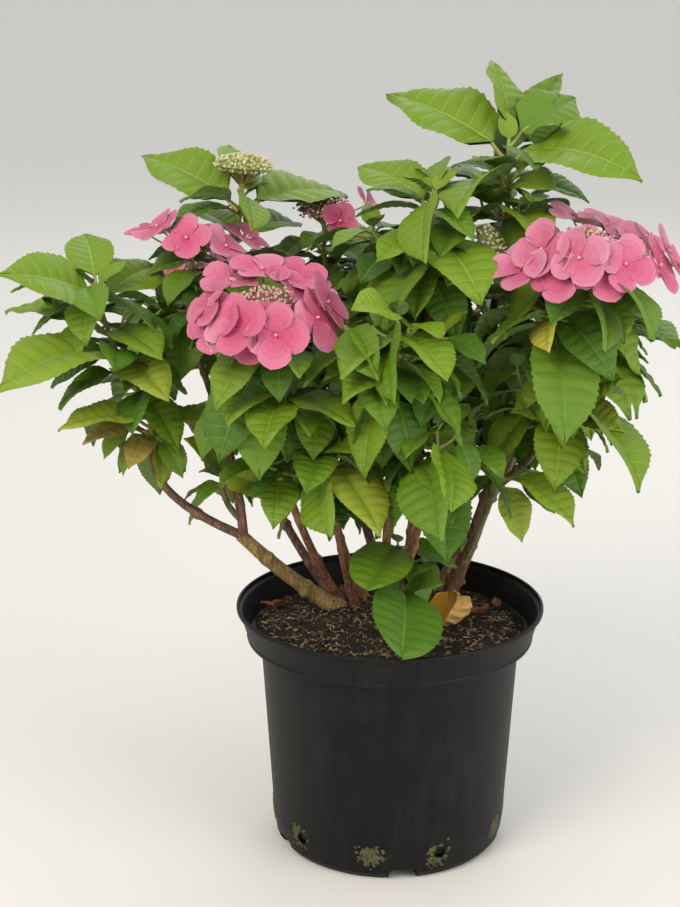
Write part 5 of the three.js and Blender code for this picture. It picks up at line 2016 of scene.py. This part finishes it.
@dataclass
class Pot:
    """The ten litre pot: a tapered shell with a deep collar, arches cut under its foot, and drain holes."""

    height: float = 224
    lip_radius: float = 138.5
    lip_height: float = 5
    collar_drop: float = 31
    collar_foot_radius: float = 129
    wall_top_radius: float = 117
    wall_low_radius: float = 106.5
    wall_low_height: float = 23
    foot_radius: float = 99
    wall: float = 2.4
    floor: float = 3
    segments: int = 160
    arch_count: int = 5
    arch_width: float = 25
    arch_height: float = 11
    arch_depth: float = 26
    arch_first: float = -84
    drain_radius: float = 5
    drain_height: float = 24
    drain_offset: float = 18

    def profile(self, inset: float, bottom: float, top: float) -> Profile:
        """The outside from its foot up, drawn in by inset for the inside.

        Args:
            inset: How far it is drawn in.
            bottom: The height of its lower end.
            top: The height of its upper end.

        Returns:
            Points of radius and height.
        """
        wall_height = self.height - self.collar_drop
        is_inside = inset > 0
        lip = [(self.lip_radius - 3 - inset, self.height - self.lip_height),
               (self.lip_radius - inset, self.height - self.lip_height + 1)]
        ribs = [] if is_inside else [
            (self.collar_foot_radius + 0.7, wall_height + 3.2),
            (self.collar_foot_radius + 0.1, wall_height + 4.4)]
        groove = [] if is_inside else [
            (self.wall_low_radius + 0.35, self.wall_low_height + 3),
            (self.wall_low_radius + 0.05, self.wall_low_height + 4.6)]
        return [
            (0, bottom), (self.foot_radius - inset, bottom), (self.foot_radius + 5 - inset, bottom + 6),
            (self.wall_low_radius - inset, self.wall_low_height), *groove,
            (self.wall_top_radius - inset, wall_height),
            (self.collar_foot_radius - inset, wall_height + (5 if is_inside else 0)), *ribs, *lip,
            (self.lip_radius - inset, top), (0, top)]

    def turned_piece(self, name: str, profile: Profile) -> Piece:
        """A closed lathe of a profile.

        Args:
            name: Its name.
            profile: Points of radius and height.

        Returns:
            The piece.
        """
        parts = MeshParts()
        parts.add(*lathe(profile, self.segments), POT_PLASTIC)
        return parts.build(name)

    def arches(self, margin: float) -> Piece:
        """The arches under the foot, with rounded crowns, grown all round by margin.

        Args:
            margin: How far it is grown.

        Returns:
            The cutter.
        """
        half, height = self.arch_width / 2 + margin, self.arch_height + margin
        corner = 5.0
        outline = [(-half, -4.0), (half, -4.0)]
        outline += [(half - corner + corner * cos(a), height - corner + corner * sin(a))
                    for a in np.linspace(0, pi / 2, 6)]
        outline += [(-half + corner - corner * sin(a), height - corner + corner * cos(a))
                    for a in np.linspace(0, pi / 2, 6)]
        middle, reach = self.foot_radius + 5, self.arch_depth + margin
        flat = np.array(outline)
        parts = MeshParts()
        for number in range(self.arch_count):
            out = level_way(radians(self.arch_first + number * 360 / self.arch_count))
            side = np.cross(UP, out)
            rings = [out * at + side * flat[:, :1] + UP * flat[:, 1:] for at in (middle - reach, middle + reach)]
            points = np.concatenate((*rings, [rings[0].mean(0)], [rings[1].mean(0)]))
            parts.add(points, closed(2, len(outline)), POT_PLASTIC)
        return parts.build(f"arch_cutter_{margin:g}")

    def drains(self) -> Piece:
        """The rods that pierce the drain holes.

        Returns:
            The cutter.
        """
        parts = MeshParts()
        for number in range(self.arch_count):
            out = level_way(radians(self.arch_first + self.drain_offset + number * 360 / self.arch_count))
            line = out * np.linspace(self.wall_low_radius - 15, self.wall_low_radius + 15, 3)[:, None]
            tube(parts, line + UP * self.drain_height, np.full(3, self.drain_radius), 20, POT_PLASTIC)
        return parts.build("drain_cutter")

    def cut(self, piece: Piece, cutter: Piece) -> None:
        """Cuts one piece by another, and removes the cutter.

        Args:
            piece: The piece.
            cutter: What is taken away from it.
        """
        modifier = piece.modifiers.new("cut", "BOOLEAN")
        modifier.operation = "DIFFERENCE"
        modifier.solver = "EXACT"
        modifier.object = cutter
        convert(piece)
        bpy.data.objects.remove(cutter)

    def make(self) -> list[Piece]:
        """Builds the shell and the moss on it.

        Returns:
            Both pieces.
        """
        shell = self.turned_piece("pot_shell", rounded(self.profile(0, 0, self.height), 1.3))
        hollow = self.profile(self.wall, self.floor, self.height + 6)
        inside = self.turned_piece("inside_cutter", rounded(hollow, 0.9))
        self.cut(inside, self.arches(self.wall))
        self.cut(shell, inside)
        self.cut(shell, self.arches(0))
        self.cut(shell, self.drains())
        shell.data.set_sharp_from_angle(angle=radians(38))
        return [settle(shell, "pot", "pot"), settle(self.moss(), "pot")]

    def wall_radius(self, height: float) -> float:
        """The outside radius of the wall at a height.

        Args:
            height: The height.

        Returns:
            The radius.
        """
        heights = (0, 6, self.wall_low_height, self.height - self.collar_drop)
        return float(np.interp(height, heights, (
            self.foot_radius, self.foot_radius + 5, self.wall_low_radius, self.wall_top_radius)))

    def moss(self) -> Piece:
        """Moss and silt in patches beside the arches and drain holes, each of many small low cushions.

        Returns:
            The piece.
        """
        luck = np.random.default_rng(71)
        parts = MeshParts()
        cushion, faces = lathe([(0, -0.4), (1, -0.4), (0.85, 0.3), (0.45, 0.8), (0, 0.9)], 7)
        for number in range(self.arch_count * 2):
            arch = self.arch_first + number // 2 * 360 / self.arch_count
            middle = arch + (15 if number % 2 else -15) + luck.uniform(-2, 2)
            height = luck.uniform(20, 27)
            for _ in range(int(luck.uniform(130, 220))):
                turn = radians(middle) + luck.normal(0, 5) / self.wall_low_radius
                z = height + luck.normal(0, 4.5)
                drain = radians(arch + self.drain_offset)
                away = hypot((turn - drain) * self.wall_low_radius, z - self.drain_height)
                in_hole = away < self.drain_radius + 1.4
                in_arch = abs(turn - radians(arch)) * self.foot_radius < self.arch_width / 2 + 2 and z < 14
                if z < 3 or in_hole or in_arch:
                    continue
                size, proud = luck.uniform(0.7, 1.9), luck.uniform(0.2, 0.9)
                out = level_way(turn)
                along = np.cross(UP, out)
                shape = (along * cushion[:, :1] * size + UP * cushion[:, 1:2] * size * luck.uniform(0.7, 1.2)
                         + out * (cushion[:, 2:] * proud + self.wall_radius(z)) + UP * z)
                finish = MOSS if luck.random() < (0.75 if number % 2 else 0.45) else SILT
                parts.add(shape, faces, finish)
        return parts.build("pot_moss")


class Litter(Enum):
    """What lies in the compost: how many to a square metre, the size of each in metres, and its finish."""

    CRUMB = (26000.0, (0.0022, 0.0022, 0.0016), PEAT_CRUMB)
    CHIP = (5200.0, (0.0070, 0.0028, 0.0013), BARK_CHIP)
    PALE = (4600.0, (0.0060, 0.0022, 0.0011), PALE_CHIP)
    STRAND = (13000.0, (0.0004, 0.0004, 0.0110), FIBRE)
    GRIT = (1500.0, (0.0017, 0.0016, 0.0014), PERLITE)


@dataclass
class Compost:
    """The compost that fills the pot, lumpy on top, with chips, fibres, crumbs and grit on it."""

    pot: Pot
    clear: float = 2.7
    segments: int = 144
    rings: int = 46
    mound: float = 5
    scraps_at: tuple = ((-96, 56, 24), (-102, 40, 15), (92, 30, 22), (101, 38, 17), (84, 20, 14), (-62, -40, 12))

    def top_height(self, x: float, y: float) -> float:
        """How high the compost lies at a place, in millimetres.

        Args:
            x: Millimetres along X.
            y: Millimetres along Y.

        Returns:
            The height.
        """
        middle = self.mound * exp(-(x * x + (y - 50) ** 2) / 4200)
        coarse = 2.6 * noise.noise(Vector((x / 24, y / 24, 1.3)))
        fine = 1.8 * noise.noise(Vector((x / 7, y / 7, 5.1)))
        fine += 0.9 * noise.noise(Vector((x / 2.8, y / 2.8, 9.4)))
        edge = max(0.0, (hypot(x, y) - 96) / 30)
        return SOIL_TOP + middle + coarse * (1 - 0.4 * edge) + fine - 2.6 * edge * edge - 0.6

    def make(self) -> list[Piece]:
        """Builds the bed and what lies on it.

        Returns:
            The pieces.
        """
        pot, clear = self.pot, self.clear
        low = pot.arch_height + clear
        wall_height = pot.height - pot.collar_drop
        rim = pot.collar_foot_radius - clear
        side = [(0, low), (pot.foot_radius - clear, low), (pot.foot_radius + 5 - clear, low + 6),
                (pot.wall_low_radius - clear, pot.wall_low_height), (pot.wall_top_radius - clear, wall_height),
                (rim - 0.6, wall_height + 3.2)]
        top = [(rim * k / self.rings, SOIL_TOP) for k in range(self.rings, 0, -1)]
        points, faces = lathe([*side, *top, (0, SOIL_TOP)], self.segments)
        for point in points[(len(side) - 1) * self.segments:]:
            if point[2] > wall_height + 4:
                point[2] = self.top_height(point[0], point[1])
        parts = MeshParts()
        parts.add(points, faces, PEAT)
        bed = settle(parts.build("compost_bed", sharp=80), "compost", "compost")
        return [bed, settle(self.litter(), "compost", "compost"), settle(self.scraps(), "compost")]

    def scraps(self) -> Piece:
        """Small curled scraps of fallen leaves: each place holds its size last.

        Returns:
            The piece.
        """
        luck = np.random.default_rng(23)
        shape = BladeShape(veins=4, columns=(0.4, 1.0), quilt=0.05, tooth=0.08)
        parts = MeshParts()
        for x, y, length in self.scraps_at:
            root = np.array((x, y, self.top_height(x, y) + 2.0))
            plan = LeafPlan(root, luck.uniform(0, 360), 8, luck.uniform(-20, 20), length, -18, BRONZE)
            points = shape.grow(Blade(plan), luck, curl=0.35)
            parts.add(points, shape.faces, [SCRAP, PALE_CHIP, SCRAP], shape.zones)
        return parts.build("compost_scraps", sharp=60)

    def litter(self) -> Piece:
        """Everything that lies loose on the compost.

        Returns:
            The piece.
        """
        points, faces = lathe([(0, 0)] + [(120 * k / 16, 0) for k in range(1, 17)] + [(0, 0)], 48)
        for point in points:
            point[2] = self.top_height(point[0], point[1]) + 0.2
        parts = MeshParts()
        parts.add(points[:-1], faces[0], PEAT_CRUMB)
        return self.litter_tree().put_on(parts.build("compost_litter"))

    def litter_tree(self) -> NodeTree:
        """Scatters each kind of litter over the compost, laid nearly flat.

        Returns:
            The tree.
        """
        tree = NodeTree("compost_litter", Seed=17, **{kind.name: kind.value[0] for kind in Litter})
        join = tree.add("JoinGeometry")
        for number, kind in enumerate(Litter):
            seed = tree.add("ShaderNodeMath", {0: tree.value("Seed"), 1: number * 11.0}, operation="ADD")
            spread = tree.add("DistributePointsOnFaces", {
                "Mesh": tree.source, "Density": tree.value(kind.name), "Seed": seed})
            shape = self.litter_shape(tree, kind)
            dressed = tree.add("SetMaterial", {"Geometry": shape, "Material": kind.value[2].make()})
            base, lean = (1.5, 0.35) if kind is Litter.STRAND else (0.0, 0.5)
            turn = tree.add("FunctionNodeRandomValue", {
                0: (base - lean, -lean, 0.0), 1: (base + lean, lean, 6.283), 8: 3 + number},
                data_type="FLOAT_VECTOR")
            size = tree.add("FunctionNodeRandomValue", {
                0: (0.45, 0.45, 0.5), 1: (1.35, 1.3, 1.25), 8: 9 + number}, data_type="FLOAT_VECTOR")
            placed = tree.add("InstanceOnPoints", {
                "Points": spread, "Instance": dressed, "Rotation": turn, "Scale": size})
            real = tree.add("RealizeInstances", {"Geometry": placed})
            connect(tree.tree, join, {0: self.roughened(tree, real, kind)})
        tree.finish(join)
        return tree

    def litter_shape(self, tree: NodeTree, kind: Litter) -> Node:
        """One piece of litter, centred on its point.

        Args:
            tree: The litter's tree.
            kind: The kind of litter.

        Returns:
            The node that gives it.
        """
        size = kind.value[1]
        if kind is Litter.STRAND:
            line = tree.add("CurvePrimitiveLine", {"Start": (0, 0, -size[2] / 2), "End": (0, 0, size[2] / 2)})
            fine = tree.add("ResampleCurve", {"Curve": line, "Count": 7})
            ring = tree.add("CurvePrimitiveCircle", {"Resolution": 3, "Radius": size[0]})
            return tree.add("CurveToMesh", {"Curve": fine, "Profile Curve": ring, "Fill Caps": True})
        if kind in (Litter.CRUMB, Litter.GRIT):
            ball = tree.add("MeshIcoSphere", {"Radius": 0.5, "Subdivisions": 2})
            return tree.add("Transform", {"Geometry": ball, "Scale": size})
        return tree.add("MeshCube", {"Size": size, "Vertices X": 5, "Vertices Y": 3, "Vertices Z": 2})

    def roughened(self, tree: NodeTree, geometry: Node, kind: Litter) -> Node:
        """Makes each piece irregular by noise read where it lies.

        Args:
            tree: The litter's tree.
            geometry: The node that gives the pieces.
            kind: The kind of litter.

        Returns:
            The node that gives the rough pieces.
        """
        coarse, depth = (0.006, 0.009) if kind is Litter.STRAND else (0.0022, min(kind.value[1]) * 1.1)
        wave = tree.add("ShaderNodeTexNoise", {"Scale": 1 / coarse, "Detail": 1.0}).outputs[1]
        centred = tree.add("ShaderNodeVectorMath", {0: wave, 1: (0.5, 0.5, 0.5)}, operation="SUBTRACT")
        offset = tree.add("ShaderNodeVectorMath", {0: centred, "Scale": depth}, operation="SCALE")
        return tree.add("SetPosition", {"Geometry": geometry, "Offset": offset})


@dataclass
class WitheredLeaf:
    """A withered orange leaf, curled on the compost."""

    at: tuple = (13, 22, 228)
    turn: float = -14
    rise: float = -22
    roll: float = 34
    length: float = 82
    arch: float = -120
    curl: float = 0.62

    def make(self) -> list[Piece]:
        """Builds the leaf over its solid, with its tip curled up, resting on the compost.

        Returns:
            The piece.
        """
        plan = LeafPlan(np.array(self.at, dtype=float), self.turn, self.rise, self.roll, self.length, self.arch,
                        BRONZE)
        shape = BladeShape(veins=6, columns=(0.3, 0.62, 1.0), quilt=0.045, tooth=0.06, thickness=0.6)
        points = shape.grow(Blade(plan), np.random.default_rng(9), curl=self.curl)
        parts = MeshParts()
        points[:, 2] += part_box("withered_leaf")[0][2] / MM - points[:, 2].min()
        parts.add(points, shape.faces, [DRY_LEAF, DRY_UNDER, DRY_UNDER], shape.zones)
        foot = points[:shape.row].mean(0)
        line = np.array((foot + (-11, 4, 2), foot + (-6, 1, 1.5), foot + (-2, 0, 0.3), foot + (1, 0, -0.3)))
        tube(parts, line, np.array((1.3, 1.1, 1.0, 0.8)), 7, DRY_UNDER)
        return [settle(parts.build("withered_leaf_blade", sharp=60), "withered", "withered_leaf")]


@dataclass
class Studio:
    """The pale floor, the soft lights and the camera at the photograph's viewpoint."""

    focal_pixels: float = 1911
    frame_height: float = 907
    axis_above_middle: float = 6.5
    eye: tuple = (-0.045, -1.624, 0.833)
    pitch: float = 15.94
    floor_size: float = 40

    def camera(self) -> None:
        """Sets the camera: no roll, heading along +Y, pitched down."""
        data = bpy.data.cameras.new("photo_camera")
        data.sensor_width = 36
        data.lens = 36 * self.focal_pixels / self.frame_height
        data.shift_y = -self.axis_above_middle / self.frame_height
        data.clip_end = 60
        camera = bpy.data.objects.new("photo_camera", data)
        camera.location = self.eye
        camera.rotation_euler = (radians(90 - self.pitch), 0, 0)
        link(camera)
        bpy.context.scene.camera = camera

    def light(self, name: str, place: tuple, aim: tuple, size: float, power: float, colour: str) -> None:
        """Adds a soft square light.

        Args:
            name: Its name.
            place: Where it stands, in metres.
            aim: What it points at.
            size: Its side in metres.
            power: Its power in watts.
            colour: Its hex colour.
        """
        data = bpy.data.lights.new(name, "AREA")
        data.size = size
        data.energy = power
        data.color = linear(colour)[:3]
        lamp = bpy.data.objects.new(name, data)
        lamp.location = place
        lamp.rotation_euler = (Vector(aim) - Vector(place)).to_track_quat("-Z", "Y").to_euler()
        link(lamp)

    def make(self) -> None:
        """Sets the floor, lights, sky and camera."""
        side = self.floor_size / 2
        corners = [(-side, -side, 0), (side, -side, 0), (side, side, 0), (-side, side, 0)]
        mesh = bpy.data.meshes.new("studio_floor")
        mesh.from_pydata(corners, [], [(0, 1, 2, 3)])
        mesh.materials.append(Finish("pale_matte_floor", "#D6D4CF", 0.9).make())
        floor = bpy.data.objects.new("studio_floor", mesh)
        link(floor)
        self.light("key", (-1.3, -1.7, 2.2), (0, 0, 0.4), 1.3, 48, "#FFF3E2")
        self.light("fill", (2.2, -1.6, 1.2), (0, 0, 0.4), 2.2, 46, "#FFFDF8")
        self.light("back", (0.6, 2.4, 2.2), (0, 0, 0.45), 1.8, 22, "#FFFFFF")
        world = bpy.data.worlds.new("studio_sky")
        world.use_nodes = True
        world.node_tree.nodes["Background"].inputs["Color"].default_value = linear("#F0F1F2")
        world.node_tree.nodes["Background"].inputs["Strength"].default_value = 0.98
        bpy.context.scene.world = world
        bpy.context.scene.view_settings.view_transform = "Standard"
        self.camera()


def main() -> None:
    """Builds the studio, the pot, the compost, the canes, the crown and the withered leaf, in order."""
    logging.basicConfig(level=logging.INFO, format="%(name)s %(message)s")
    Studio().make()
    pot = Pot()
    pot.make()
    Compost(pot).make()
    crown = Crown()
    Canes().make(crown.arcs)
    crown.grow()
    crown.make()
    WitheredLeaf().make()


if __name__ == "__main__":
    main()
